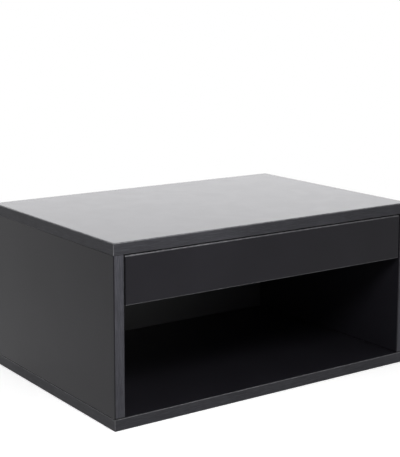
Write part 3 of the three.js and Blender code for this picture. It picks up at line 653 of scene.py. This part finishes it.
panel = {"finish": "satinBlack", "band": "bandLying", "edge": 1.0, "worn": "all"}
sidePanel = {**panel, "band": "bandUpright", "edge": 1.3, "lowEdge": 1.8, "highEdge": 0.3, "worn": "none"}
drawerBoard = {"finish": "drawerFoil", "edge": 0.5, "body": "drawer", "slot": "drawer_board"}
thinPanel = {"finish": "thinBoard", "edge": 0.2, "slot": "black_panel"}
boards = {
    "top_panel": {**panel, "lowEdge": 0.4, "highEdge": 1.5},
    "bottom_panel": panel,
    "side_panel_left": sidePanel,
    "side_panel_right": sidePanel,
    "hanging_rail": panel,
    "back_panel": thinPanel,
    "drawer_front": {**panel, "highEdge": 1.6, "worn": "lying", "body": "drawer"},
    "drawer_inner_front": drawerBoard,
    "drawer_side_left": drawerBoard,
    "drawer_side_right": drawerBoard,
    "drawer_back": drawerBoard,
    "drawer_bottom": {**thinPanel, "body": "drawer"},
}
joinery = {
    "dowelHole": 8.5,
    "dowelGap": 0.25,
    "grooveGap": 0.3,
    "seatGap": 0.2,
    "bottomPlay": 0.1,  # more room beside and before the drawer's bottom
    "backDadoBelow": 3.2,  # the rear dado reaches so far below the drawer's back
    "pocketWidth": 12.0,  # behind each keyhole, for the wall screw's head
    "pocketHeight": 21.0,
    "pocketDepth": 8.0,
}
dowels = sorted(name for name in nodes if name.startswith("dowel_"))
dowelWords = {"top_panel": "top_", "bottom_panel": "bottom_", "hanging_rail": "rail"}  # in their names
dowelWords |= {f"side_panel_{side}": f"_{side}" for side in sides}


def grown(node, by, low=(0, 0, 0), high=(0, 0, 0)):
    # A node's box as a cutter, grown all round and then by so much more at its low and high faces
    first, last = boxOf(node)
    allRound = Vector((by, by, by))
    return block(first - allRound - Vector(low), last + allRound + Vector(high))


def dowelAim(name):
    return Vector((1, 0, 0)) if "rail" in name else Vector((0, 0, 1))


def dowelHoles(part):
    holes = []
    for name in dowels:
        if part in name:
            low, high = boxOf(name)
            reach = dowelAim(name) * ((high - low).dot(dowelAim(name)) / 2 + joinery["dowelGap"])
            middle = (low + high) / 2
            holes.append(rod(middle - reach, middle + reach, joinery["dowelHole"]))
    return holes


def plateSeats():
    # In the rail: each hanging plate's seat, and the pocket behind its keyhole
    gap, rear = joinery["seatGap"], boxOf("hanging_rail")[1].y
    cuts = []
    for side in sides:
        low, high = boxOf(f"hanging_plate_{side}")
        x, _, z = (low + high) / 2
        outline = capsule((x, z), high.x - low.x + 2 * gap, high.z - low.z + 2 * gap)
        cuts.append(prism(outline, "Y", low.y - gap, rear + over))
        pocket = capsule((x, z), joinery["pocketWidth"], joinery["pocketHeight"])
        cuts.append(prism(pocket, "Y", low.y - joinery["pocketDepth"], rear))
    return cuts


def boardCuts(name):
    gap, play, side = joinery["seatGap"], joinery["bottomPlay"], name.split("_")[-1]
    kind = name.removesuffix(f"_{side}") if side in sides else name
    cuts = dowelHoles(dowelWords[name]) if name in dowelWords else []
    if kind in ("bottom_panel", "side_panel", "hanging_rail"):
        cuts.append(grown("back_panel", joinery["grooveGap"]))
    if kind in ("drawer_inner_front", "drawer_side"):
        cuts.append(grown("drawer_bottom", gap, (play, play, 0), (play, over, 0)))
    if kind == "side_panel":
        cuts += screwHoles("cabinet_runner_screw", side)
    if kind == "hanging_rail":
        cuts += screwHoles("plate_screw") + plateSeats()
    if kind in ("drawer_front", "drawer_inner_front"):
        cuts += screwHoles("front_screw")
    if kind == "drawer_side":
        cuts.append(grown("drawer_inner_front", gap, (0, over, over), (0, 0, over)))
        cuts.append(grown("drawer_back", gap, (0, 0, joinery["backDadoBelow"]), (0, 0, over)))
        cuts += screwHoles("drawer_runner_screw", side)
    if kind in ("drawer_back", "drawer_bottom"):
        cuts += screwHoles("bottom_screw")
    return cuts


def boardMesh(low, high, board, steps=4):
    # Only the rounded edges are shaded smooth. Narrow faces, and the rounded edges that carry the painted
    # highlight, have the second material.
    radii = {level: board.get(f"{level}Edge", board["edge"]) for level in ("low", "high")}
    widest = max(board["edge"], *radii.values())
    shape = block(low, high)
    weights = shape.edges.layers.float.new("bevel_weight_edge")
    for edge in shape.edges:
        one, two = (vert.co.z / mm for vert in edge.verts)
        level = "low" if one < (low.z + high.z) / 2 else "high"
        edge[weights] = (radii[level] if abs(one - two) < near else board["edge"]) / widest
    blank = putInScene("blank", finishedMesh(shape, "blank", math.pi))
    rounding = blank.modifiers.new("rounding", "BEVEL")
    rounding.limit_method = "WEIGHT"
    rounding.width = widest * mm
    rounding.segments = steps
    mesh = evaluatedMesh(blank)
    bpy.data.objects.remove(blank)
    size = high - low
    thin = min(range(3), key=lambda axis: size[axis])
    for face in mesh.polygons:
        flat = max(abs(value) for value in face.normal) > 0.9999 and face.area > 2 * (widest * mm) ** 2
        face.use_smooth = not flat
        # Rounded edges take the band and its painted highlight as the board says. On the drawer's front
        # only the lying ones do.
        banded = board.get("worn") == "all"
        if flat:
            banded = abs(face.normal[thin]) < 0.5
        elif board.get("worn") == "lying":
            banded = abs(face.normal.z) > 0.1
        face.material_index = int(banded and "band" in board)
    return mesh


for name, board in boards.items():
    mesh = boardMesh(*boxOf(name), board)
    for finish in [board[key] for key in ("finish", "band") if key in board]:
        mesh.materials.append(materials[finish])
    piece = putInScene(f"{name}_board", mesh)
    carve(piece, boardCuts(name), "rawBoard")
    seat(piece, board.get("body", "cabinet"), board.get("slot", "black_board"), name)
print("boards done")

# Telescopic runners. Each is drawn for the left side, with x from its back, y from its front end and z
# from its middle.

runner = {
    "height": 45.0,
    "width": 12.7,
    "sheet": 1.2,  # cabinet and drawer members
    "middleSheet": 1.0,
    "outerBall": 4.0,
    "innerBall": 3.5,
    "raceGap": 0.15,
    "outerBallAcross": 5.4,
    "middleWebAcross": 2.6,
    "cornerBend": 1.2,
    "memberCornerBend": 1.0,
    "raceKinkBend": 0.9,
    "screwYs": (35, 227),
    "countersinkStart": -0.9,
    "countersink": [(0, 2.2), (1.9, 4.0), (3.1, 4.0)],  # places from its start, each with its radius
    "drawerScrewYs": (35, 259),
    "drawerScrewHole": 3.9,
    "accessHole": 9.0,
    "slotYs": (67, 259),
    "slot": (12.0, 4.5),
    "lugHole": 4.4,
    "lugInset": 4.5,  # the bumper's lug, from the rear end
    "rivetY": 175.0,
    "endTabSetback": 3.0,
    "endTabWidth": 14.0,
    "endTabRise": 3.0,
    "endTabRelief": 1.0,
    "endTabCorner": 1.5,
    "endTabBend": 0.6,  # centre line radius
}
# Degrees round the ball
races = {"cabinet": (135, 15), "middle": (250, 300), "middleLip": 70, "drawerEnd": 225}


def stripOutline(across, thickness, moves, bendStep=9, runEnd=0.25):
    # A strip of sheet seen end on, bent from the middle of its upright web, with its mirror image below.
    # A straight run has no radius, and a bend's amount is degrees to the left.
    at, heading, samples = complex(across, 0), math.pi / 2, []
    for radius, amount in moves:
        if radius is None:
            direction = complex(math.cos(heading), math.sin(heading))
            margin = min(runEnd, amount / 3)
            shares = (margin, amount - margin, amount)
            samples += [(at + direction * share, 1j * direction) for share in shares]
            at += direction * amount
            continue
        steps = max(1, math.ceil(abs(amount) / bendStep))
        turn = math.radians(amount / steps)
        for _ in range(steps):
            leftward = complex(-math.sin(heading), math.cos(heading))
            centre = at + leftward * math.copysign(radius, amount)
            at = centre + (at - centre) * complex(math.cos(turn), math.sin(turn))
            heading += turn
            samples.append((at, complex(-math.sin(heading), math.cos(heading))))
    line = [(at.conjugate(), leftward.conjugate()) for at, leftward in reversed(samples)] + samples
    outer = [at + leftward * thickness / 2 for at, leftward in line]
    inner = [at - leftward * thickness / 2 for at, leftward in reversed(line)]
    return [(point.real, point.imag) for point in outer + inner]


def polar(radius, degrees):
    return complex(radius * math.cos(math.radians(degrees)), radius * math.sin(math.radians(degrees)))


def webAndRamp(across, meets, slope):
    # How long half a member's web is, and the ramp from its corner to where the race begins
    corner, sine, cosine = runner["memberCornerBend"], polar(1, slope).imag, polar(1, slope).real
    ramp = (abs(meets.real - across) - corner * (1 - sine)) / cosine
    return meets.imag - ramp * sine - corner * cosine, ramp


def runnerGeometry():
    # Where the balls run, and the outlines of the sheets that wrap them
    sheet, middleSheet, corner = runner["sheet"], runner["middleSheet"], runner["memberCornerBend"]
    outerReach = runner["outerBall"] / 2 + runner["raceGap"]
    innerReach = runner["innerBall"] / 2 + runner["raceGap"]
    outerAt = complex(runner["outerBallAcross"], runner["height"] / 2 - sheet - outerReach)
    middleOuter, middleInner = outerReach + middleSheet / 2, innerReach + middleSheet / 2
    start, end = races["middle"]
    turn = end - 270
    innerAt = outerAt + polar(middleOuter, end) - polar(middleInner, 90 + turn)

    first, last = races["cabinet"]
    race, bend, kink = outerReach + sheet / 2, runner["cornerBend"], runner["raceKinkBend"]
    flange = outerAt + polar(race, first) - polar(kink, 90) + polar(kink, 270 - first)
    moves = [(None, flange.imag - bend), (bend, -90), (None, flange.real - sheet / 2 - bend)]
    cabinet = stripOutline(sheet / 2, sheet, moves + [(kink, 180 - first), (race, last - first)])

    across = runner["middleWebAcross"]
    web, ramp = webAndRamp(across, outerAt + polar(middleOuter, start), start - 270)
    moves = [(None, web), (corner, start - 360), (None, ramp)]
    moves += [(middleOuter, end - start), (middleInner, -races["middleLip"] - turn)]
    middle = stripOutline(across, middleSheet, moves)

    across, race = runner["width"] - sheet / 2, innerReach + sheet / 2
    web, ramp = webAndRamp(across, innerAt + polar(race, end), -turn)
    moves = [(None, web), (corner, 90 + turn), (None, ramp), (race, races["drawerEnd"] - end)]
    return {
        "cabinet": cabinet,
        "middle": middle,
        "drawer": stripOutline(across, sheet, moves),
        "outerBall": outerAt,
        "innerBall": innerAt,
        "drawerLip": innerAt.real + polar(race, races["drawerEnd"]).real - sheet / 2,
    }


geometry = runnerGeometry()
lowCabinet, highCabinet = boxOf("runner_cabinet_member_left")
runnerOrigin = Vector((lowCabinet.x, lowCabinet.y, (lowCabinet.z + highCabinet.z) / 2))
memberLength = round(highCabinet.y - lowCabinet.y, 3)
slidingLength = round(boxOf("runner_middle_member_left")[1].y - lowCabinet.y, 3)


def seatOnRunner(piece, side, body, slot, node):
    # The right runner is the left one turned over.
    x, y, z = runnerOrigin * mm
    place = Matrix.Translation((x, y, z))
    if side == "right":
        place = Matrix.Translation((-x, y, z)) @ Matrix.Rotation(math.pi, 4, "Y")
    piece.data.transform(place)
    seat(piece, body, slot, f"{node}_{side}")


def rodAcross(y, diameter, fromX, toX):
    return rod((fromX, y, 0), (toX, y, 0), diameter)


def slotAcross(y, fromX, toX):
    return prism(capsule((y, 0), *runner["slot"]), "X", fromX, toX)


def sheetPiece(name, outline, finish, cuts, length, start=0.0):
    piece = solidPiece(name, prism(outline, "Y", start, start + length), finish)
    carve(piece, cuts, finish)
    return piece


def endTab(atRear):
    # The middle member's web, bent up at one of its ends, and the notch that the bend leaves
    def along(y):
        return slidingLength - y if atRear else y

    sheet, bend, half = runner["middleSheet"], runner["endTabBend"], runner["endTabWidth"] / 2
    back, front = runner["middleWebAcross"] - sheet / 2, runner["endTabSetback"]
    centre = (back + sheet / 2 + bend, front + sheet / 2 + bend)
    top, root = back + sheet + runner["endTabRise"], centre[1] + sheet
    outline = [(back, root)] + arcPoints(centre, bend + sheet / 2, 180, 270) + [(top, front)]
    outline += [(top, front + sheet)] + arcPoints(centre, bend - sheet / 2, 270, 180)
    outline.append((back + sheet, root))
    tab = prism([(x, along(y)) for x, y in outline], "Z", -half, half)
    rounded(tab, runner["endTabCorner"], 4, x=(top,), z=(-half, half))
    ends = sorted((along(-over), along(centre[1])))
    side, margin = half + runner["endTabRelief"], sheet / 2
    return tab, block((back - margin, ends[0], -side), (back + sheet + margin, ends[1], side))


for side in sides:
    sheet, middleSheet, width = runner["sheet"], runner["middleSheet"], runner["width"]
    cuts = [rodAcross(memberLength - runner["lugInset"], runner["lugHole"], -over, sheet + over)]
    cuts += [slotAcross(y, -over, sheet + over) for y in runner["slotYs"]]
    for y in runner["screwYs"]:
        cuts.append(turned((runner["countersinkStart"], y, 0), (1, 0, 0), runner["countersink"]))
    piece = sheetPiece(f"cabinet_member_{side}", geometry["cabinet"], "zincSteel", cuts, memberLength)
    seatOnRunner(piece, side, "cabinet", "zinc_steel", "runner_cabinet_member")

    back = runner["middleWebAcross"] - middleSheet
    cuts = [rodAcross(y, runner["accessHole"], back, back + 2 * middleSheet) for y in runner["screwYs"]]
    tabs, notches = zip(endTab(False), endTab(True))
    cuts += notches
    piece = sheetPiece(f"middle_member_{side}", geometry["middle"], "zincSteel", cuts, slidingLength)
    carve(piece, tabs, "zincSteel", "UNION")
    seatOnRunner(piece, side, f"middle_member_{side}", "zinc_steel", "runner_middle_member")

    web = (width - sheet - over, width + over)
    cuts = [rodAcross(y, runner["drawerScrewHole"], *web) for y in runner["drawerScrewYs"]]
    cuts.append(slotAcross(runner["slotYs"][0], *web))
    piece = sheetPiece(f"drawer_member_{side}", geometry["drawer"], "zincSteel", cuts, slidingLength)
    seatOnRunner(piece, side, "drawer", "zinc_steel", "runner_drawer_member")
print("runners done")

# Geometry Nodes: what repeats


def newTree(name, **sockets):
    # Each kind of socket has the names of its inputs. The tree takes and gives a geometry.
    tree = bpy.data.node_groups.new(name, "GeometryNodeTree")
    for way in ("INPUT", "OUTPUT"):
        tree.interface.new_socket("Geometry", in_out=way, socket_type="NodeSocketGeometry")
    for kind, labels in sockets.items():
        for label in labels:
            tree.interface.new_socket(label, in_out="INPUT", socket_type=f"NodeSocket{kind}")
    return tree, tree.nodes.new("NodeGroupInput").outputs


def vectorNode(tree, x=0.0, y=0.0, z=0.0):
    return addNode(tree, "ShaderNodeCombineXYZ", {"X": x, "Y": y, "Z": z})


def moved(tree, geometry, offset):
    return addNode(tree, "GeometryNodeTransform", {"Geometry": geometry, "Translation": offset})


def joined(tree, *parts):
    whole = addNode(tree, "GeometryNodeJoinGeometry")
    for part in parts:
        setInputs(tree, whole, {"Geometry": part})
    return whole


def onPoints(tree, points, instance, **inputs):
    inputs.update(Points=points, Instance=instance)
    return addNode(tree, "GeometryNodeInstanceOnPoints", inputs)


def standOnPoints(tree, points, instance):
    # The instance's own Z turns to each point's aim.
    aim = addNode(tree, "GeometryNodeInputNamedAttribute", {"Name": "aim"}, data_type="FLOAT_VECTOR")
    aim = aim.outputs["Attribute"]
    turn = addNode(tree, "FunctionNodeAlignRotationToVector", {"Vector": aim}, axis="Z")
    return onPoints(tree, points, instance, Rotation=turn)


def endTree(tree, instances, finish):
    # Real geometry with its finish
    real = addNode(tree, "GeometryNodeRealizeInstances", {"Geometry": instances})
    painted = addNode(tree, "GeometryNodeSetMaterial", {"Geometry": real, "Material": finish})
    addNode(tree, "NodeGroupOutput", {"Geometry": painted})
    return tree


def runTree(name, tree, values, places=()):
    # A place is a point and the direction that what stands on it aims in. All is in metres.
    mesh = bpy.data.meshes.new(name)
    mesh.from_pydata([place for place, _ in places], [], [])
    aims = mesh.attributes.new("aim", "FLOAT_VECTOR", "POINT")
    for i, (_, aim) in enumerate(places):
        aims.data[i].vector = aim
    piece = putInScene(name, mesh)
    modifier = piece.modifiers.new("nodes", "NODES")
    modifier.node_group = tree
    for item in tree.interface.items_tree:
        if item.in_out == "INPUT" and item.name in values:
            modifier[item.identifier] = values[item.name]
    mesh = evaluatedMesh(piece)
    piece.modifiers.clear()
    for face in mesh.polygons:
        face.material_index = 0
    mesh.materials.clear()
    mesh.materials.append(values["Finish"])
    piece.data = mesh
    return piece


def makeBallTree():
    tree, given = newTree(
        "ballRows",
        Float=("Ball Diameter", "Pitch"),
        Int=("Balls",),
        Vector=("First Ball", "Second Row"),
        Material=("Finish",),
    )
    radius = mathNode(tree, "MULTIPLY", given["Ball Diameter"], 0.5)
    ball = addNode(tree, "GeometryNodeMeshUVSphere", {"Segments": 20, "Rings": 12, "Radius": radius})
    smooth = addNode(tree, "GeometryNodeSetShadeSmooth", {"Geometry": ball})
    step = vectorNode(tree, y=given["Pitch"])
    line = {"Count": given["Balls"], "Start Location": given["First Ball"], "Offset": step}
    row = addNode(tree, "GeometryNodeMeshLine", line)
    rows = joined(tree, row, moved(tree, row, given["Second Row"]))
    return endTree(tree, onPoints(tree, rows, smooth), given["Finish"])


def makeScrewTree():
    tree, given = newTree(
        "threadedScrews",
        Object=("Blank",),
        Float=("Thread Pitch", "Thread Radius", "Thread Depth", "Thread Start", "Thread Length"),
        Material=("Finish",),
    )
    course = {
        "Resolution": 14,
        "Rotations": mathNode(tree, "DIVIDE", given["Thread Length"], given["Thread Pitch"]),
        "Start Radius": given["Thread Radius"],
        "End Radius": given["Thread Radius"],
        "Height": given["Thread Length"],
    }
    spiral = addNode(tree, "GeometryNodeCurveSpiral", course)
    section = {"Resolution": 3, "Radius": given["Thread Depth"]}
    section = addNode(tree, "GeometryNodeCurvePrimitiveCircle", section)
    swept = {"Curve": spiral, "Profile Curve": section, "Fill Caps": True}
    thread = addNode(tree, "GeometryNodeCurveToMesh", swept)
    thread = moved(tree, thread, vectorNode(tree, z=given["Thread Start"]))
    blank = addNode(tree, "GeometryNodeObjectInfo", {"Object": given["Blank"]}).outputs["Geometry"]
    screw = joined(tree, thread, blank)
    return endTree(tree, standOnPoints(tree, given["Geometry"], screw), given["Finish"])


def makeDowelTree():
    # A bar whose radius dips at each flute and tapers at its ends
    tree, given = newTree(
        "flutedDowels",
        Float=("Diameter", "Length", "Flute Depth", "Chamfer"),
        Int=("Flutes",),
        Material=("Finish",),
    )

    def calc(operation, *values):
        return mathNode(tree, operation, *values)

    radius = calc("MULTIPLY", given["Diameter"], 0.5)
    half = calc("MULTIPLY", given["Length"], 0.5)
    sizes = {"Vertices": calc("MULTIPLY", given["Flutes"], 4), "Side Segments": 30}
    bar = addNode(tree, "GeometryNodeMeshCylinder", {**sizes, "Radius": radius, "Depth": given["Length"]})
    place = addNode(tree, "GeometryNodeInputPosition")
    parts = addNode(tree, "ShaderNodeSeparateXYZ", {"Vector": place}).outputs
    around = calc("MULTIPLY", calc("ARCTAN2", parts["Y"], parts["X"]), given["Flutes"])
    dip = calc("MULTIPLY", calc("SUBTRACT", 1.0, calc("COSINE", around)), 0.5)
    fluted = calc("SUBTRACT", 1.0, calc("MULTIPLY", dip, calc("DIVIDE", given["Flute Depth"], radius)))
    end = calc("SUBTRACT", 1.0, calc("DIVIDE", given["Chamfer"], radius))
    toEnd = calc("SUBTRACT", half, calc("ABSOLUTE", parts["Z"]))
    share = mapped(tree, toEnd, 0, given["Chamfer"], end, fluted)
    x, y = (calc("MULTIPLY", parts[axis], share) for axis in "XY")
    shaped = {"Geometry": bar, "Position": vectorNode(tree, x, y, parts["Z"])}
    shaped = addNode(tree, "GeometryNodeSetPosition", shaped)
    return endTree(tree, standOnPoints(tree, given["Geometry"], shaped), given["Finish"])


# Ball cages

cages = {
    "sheet": 0.5,
    "length": 120.0,
    "balls": 5,
    "pitch": 24.0,
    "ballHole": 0.3,  # wider than the ball
    "lipPast": 0.6,  # the cage reaches this far past its balls
    "window": (7.0, 24.0),
}
ballTree = makeBallTree()
cageStart = boxOf("outer_ball_cage_left")[0].y - runnerOrigin.y
firstBall = cageStart + (cages["length"] - (cages["balls"] - 1) * cages["pitch"]) / 2
ballYs = [firstBall + i * cages["pitch"] for i in range(cages["balls"])]
cageWebs = {
    "outer": (runner["sheet"] + runner["middleWebAcross"] - runner["middleSheet"] / 2) / 2,
    "inner": (runner["middleWebAcross"] + runner["middleSheet"] / 2 + geometry["drawerLip"]) / 2,
}
for side in sides:
    for word, web in cageWebs.items():
        x, z = geometry[f"{word}Ball"].real, geometry[f"{word}Ball"].imag
        ball, sheet = runner[f"{word}Ball"], cages["sheet"]
        run = x + ball / 2 + cages["lipPast"] - web - sheet
        outline = stripOutline(web, sheet, [(None, z - sheet), (sheet, -90), (None, run)])
        hole = ball + cages["ballHole"]
        cuts = [rod((x, y, end - over), (x, y, end + over), hole) for y in ballYs for end in (-z, z)]
        for y in ballYs[1:]:
            window = capsule((y - cages["pitch"] / 2, 0), *cages["window"])
            cuts.append(prism(window, "X", web - over, web + over))
        name = f"{word}_cage_{side}"
        piece = sheetPiece(name, outline, "cageSteel", cuts, cages["length"], cageStart)
        values = {
            "Ball Diameter": ball * mm,
            "Balls": cages["balls"],
            "Pitch": cages["pitch"] * mm,
            "First Ball": (x * mm, firstBall * mm, z * mm),
            "Second Row": (0.0, 0.0, -2 * z * mm),
            "Finish": materials["ballSteel"],
        }
        for part in (piece, runTree(f"{word}_balls_{side}", ballTree, values)):
            seatOnRunner(part, side, name, "ball_steel", f"{word}_ball_cage")
print("cages done")

# Release levers, their rivets, and the rear bumpers

lever = {
    "hub": 4.0,
    "hubAngle": 260,
    "reach": 44.0,
    "pad": 4.5,
    "padAngle": 250,
    "tooth": 3.5,
    "toothRoot": 85.6,  # degrees round the hub
    "gap": 0.3,
    "thickness": 3.0,
    "edge": 0.35,
    "pocketWidth": 3.6,
    "pocketDepth": 1.1,
    "pocketInset": 1.5,
    "grooves": 4,
    "groovePitch": 1.7,
    "groove": (0.7, 0.45, 5.0),  # wide, deep and long
}
rivet = {"shank": 3.0, "head": 5.5, "headHeight": 0.7, "rim": 0.3, "sunk": 0.6}
bumper = {
    "length": 12.0,
    "height": 18.0,
    "thickness": 7.0,
    "prong": 4.5,
    "base": 4.5,
    "nose": 1.5,
    "lug": 4.0,
    "lugReach": 2.0,  # past the member's sheet, into the bumper
    "gap": 0.2,
    "edge": 0.4,
}
rivetInner = runner["width"] - runner["sheet"] - 2 * lever["gap"] - lever["thickness"]


def leverPiece(name):
    pivot, hub, tip = runner["rivetY"], lever["hub"], lever["hub"] + lever["tooth"]
    low = rivetInner + lever["gap"]
    high = low + lever["thickness"]
    padY, half, padHalf = pivot - lever["reach"], lever["hubAngle"] / 2, lever["padAngle"] / 2
    outline = arcPoints((pivot, 0), hub, -half, 0)
    outline += [(pivot + tip, 0), (pivot + tip, hub), (pivot + hub, tip)]
    outline += arcPoints((pivot, 0), hub, lever["toothRoot"], half)
    outline += arcPoints((padY, 0), lever["pad"], 180 - padHalf, 180 + padHalf)
    shape = rounded(prism(outline, "X", low, high), lever["edge"], x=(low, high))
    piece = solidPiece(name, shape, "blackPlastic")

    start, end = padY + lever["pad"] + lever["pocketInset"], pivot - hub - lever["pocketInset"]
    pocket = capsule(((start + end) / 2, 0), end - start, lever["pocketWidth"])
    cuts = [
        rodAcross(pivot, rivet["shank"] + 2 * lever["gap"], low - over, high + over),
        prism(pocket, "X", low - over, low + lever["pocketDepth"]),
    ]
    wide, deep, long = lever["groove"]
    for i in range(lever["grooves"]):
        y = padY + (i - (lever["grooves"] - 1) / 2) * lever["groovePitch"]
        cuts.append(block((low - over, y - wide / 2, -long / 2), (low + deep, y + wide / 2, long / 2)))
    carve(piece, cuts, "blackPlastic")
    return piece


def rivetPiece(name):
    start = rivetInner - rivet["headHeight"]
    head, shank, length = rivet["head"] / 2, rivet["shank"] / 2, runner["width"] - rivet["sunk"] - start
    profile = [(0, head), (rivet["headHeight"], head), (rivet["headHeight"], shank), (length, shank)]
    shape = turned((start, runner["rivetY"], 0), (1, 0, 0), profile)
    return solidPiece(name, rounded(shape, rivet["rim"], x=(start,)), "screwSteel")


def bumperPiece(name):
    # A fork that opens to the front, on a lug through the member's sheet
    half, start, end = bumper["height"] / 2, memberLength - bumper["length"], memberLength
    inside, nose, root = half - bumper["prong"], bumper["nose"], memberLength - bumper["base"]
    upper = [(end, half), (start + nose, half), (start, half - nose)]
    upper += [(start, inside + nose), (start + nose, inside), (root, inside)]
    fork = upper + [(y, -z) for y, z in reversed(upper)]
    low = runner["sheet"] + bumper["gap"]
    high = low + bumper["thickness"]
    shape = rounded(prism(fork, "X", low, high), bumper["edge"], x=(low, high))
    piece = solidPiece(name, shape, "blackPlastic")
    lugEnd = runner["sheet"] + bumper["lugReach"]
    lug = rodAcross(memberLength - runner["lugInset"], bumper["lug"], bumper["gap"], lugEnd)
    carve(piece, [lug], "blackPlastic", "UNION")
    return piece


for side in sides:
    seatOnRunner(leverPiece(f"lever_{side}_arm"), side, f"lever_{side}", "black_plastic", "release_lever")
    seatOnRunner(rivetPiece(f"lever_rivet_{side}"), side, "drawer", "zinc_steel", "runner_drawer_member")
    seatOnRunner(bumperPiece(f"bumper_{side}"), side, "cabinet", "black_plastic", "rear_bumper")
print("levers and bumpers done")

# Hanging plates

plate = {"entry": 10.0, "slot": 5.2, "rise": 9.0, "edge": 0.3}
for side in sides:
    low, high = boxOf(f"hanging_plate_{side}")
    x, _, z = (low + high) / 2
    shape = prism(capsule((x, z), high.x - low.x, high.z - low.z), "Y", low.y, high.y)
    piece = solidPiece(f"keyhole_plate_{side}", rounded(shape, plate["edge"], y=(high.y,)), "zincPlate")
    entryZ = z - plate["rise"] / 2
    slot = capsule((x, z), plate["slot"], plate["rise"] + plate["slot"])
    cuts = [
        rod((x, low.y - over, entryZ), (x, high.y + over, entryZ), plate["entry"]),
        prism(slot, "Y", low.y - over, high.y + over),
    ]
    carve(piece, cuts + screwHoles("plate_screw", side), "zincPlate")
    seat(piece, "cabinet", "zinc_steel", f"hanging_plate_{side}")
print("hanging plates done")

# Screws and dowels

screwDetail = {
    "core": 0.72,  # of the shank
    "coreStart": 0.6,  # below the head
    "threadDepth": 0.28,
    "threadStart": 0.9,  # below the head
    "threadPast": 0.4,  # where the point starts
    "point": 2.5,
    "tip": 0.3,
    "recess": 0.56,  # of the head's radius, as its blade is
    "recessBlade": 0.15,
    "recessDepth": 0.62,  # of the head's height
    "recessTurn": 17,
}
flushRim = (0.15, 0.12, 0.3)  # the chamfer round a flush head's face, wide and deep, and the cone's start
# A round head's profile, in shares of its height and its radius
roundHead = [(0, 0), (0.04, 0.5), (0.2, 0.78), (0.5, 0.95), (0.82, 1), (1, 0.97)]
dowelSize = {"Diameter": 8 * mm, "Length": 30 * mm, "Flutes": 16, "Flute Depth": 0.3 * mm, "Chamfer": mm}


def screwBlank(kind, length):
    # A screw without its thread, standing on its head's face, with a cross recess
    size = screwKinds[kind]
    radius, height, shank = size["head"] / 2, size["headHeight"], size["shank"] / 2
    if kind in cabinetScrews:
        back, low, high = flushRim
        profile = [(0, 0), (0, radius - back), (low, radius), (high, radius)]
    else:
        profile = [(along * height, across * radius) for along, across in roundHead]
    core, tip, pointStart = shank * screwDetail["core"], screwDetail["tip"], length - screwDetail["point"]
    profile += [(height, shank), (height + screwDetail["coreStart"], core), (pointStart, core)]
    profile += [(length - tip, core / 3), (length, 0)]
    blank = solidPiece("blank", turned((0, 0, 0), (0, 0, 1), profile), "screwSteel")
    long, blade = screwDetail["recess"] * radius, screwDetail["recessBlade"] * radius
    quarter = [(long, blade), (blade, blade), (blade, long)]
    upper = quarter + [(-x, y) for x, y in reversed(quarter)]
    cross = prism(upper + [(-x, -y) for x, y in upper], "Z", -over, screwDetail["recessDepth"] * height)
    turn = Matrix.Rotation(math.radians(screwDetail["recessTurn"]), 4, "Z")
    bmesh.ops.transform(cross, matrix=turn, verts=cross.verts)
    carve(blank, [cross], "screwSteel")
    return blank


screwTree = makeScrewTree()
for kind, size in screwKinds.items():
    screws = screwsOf(kind)
    length, depth = screws[0]["length"], screwDetail["threadDepth"]
    blank = screwBlank(kind, length)
    start = size["headHeight"] + screwDetail["threadStart"]
    values = {
        "Blank": blank,
        "Thread Pitch": size["pitch"] * mm,
        "Thread Radius": (size["shank"] / 2 - depth) * mm,
        "Thread Depth": depth * mm,
        "Thread Start": start * mm,
        "Thread Length": (length - start - screwDetail["point"] + screwDetail["threadPast"]) * mm,
        "Finish": materials["screwSteel"],
    }
    places = [(screw["start"] * mm, screw["aim"]) for screw in screws]
    piece = runTree(f"{kind}s", screwTree, values, places)
    bpy.data.objects.remove(blank)
    body = "cabinet" if kind in cabinetScrews else "drawer"
    seat(piece, body, "screw_steel", *[screw["node"] for screw in screws])

dowelTree = makeDowelTree()
for word in ("upright", "lying"):
    names = [name for name in dowels if ("rail" in name) == (word == "lying")]
    places = [(sum(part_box(name), Vector()) / 2, dowelAim(name)) for name in names]
    values = {**dowelSize, "Finish": materials[f"beech{word.capitalize()}"]}
    seat(runTree(f"dowels_{word}", dowelTree, values, places), "cabinet", "beech", *names)
print("screws and dowels done")
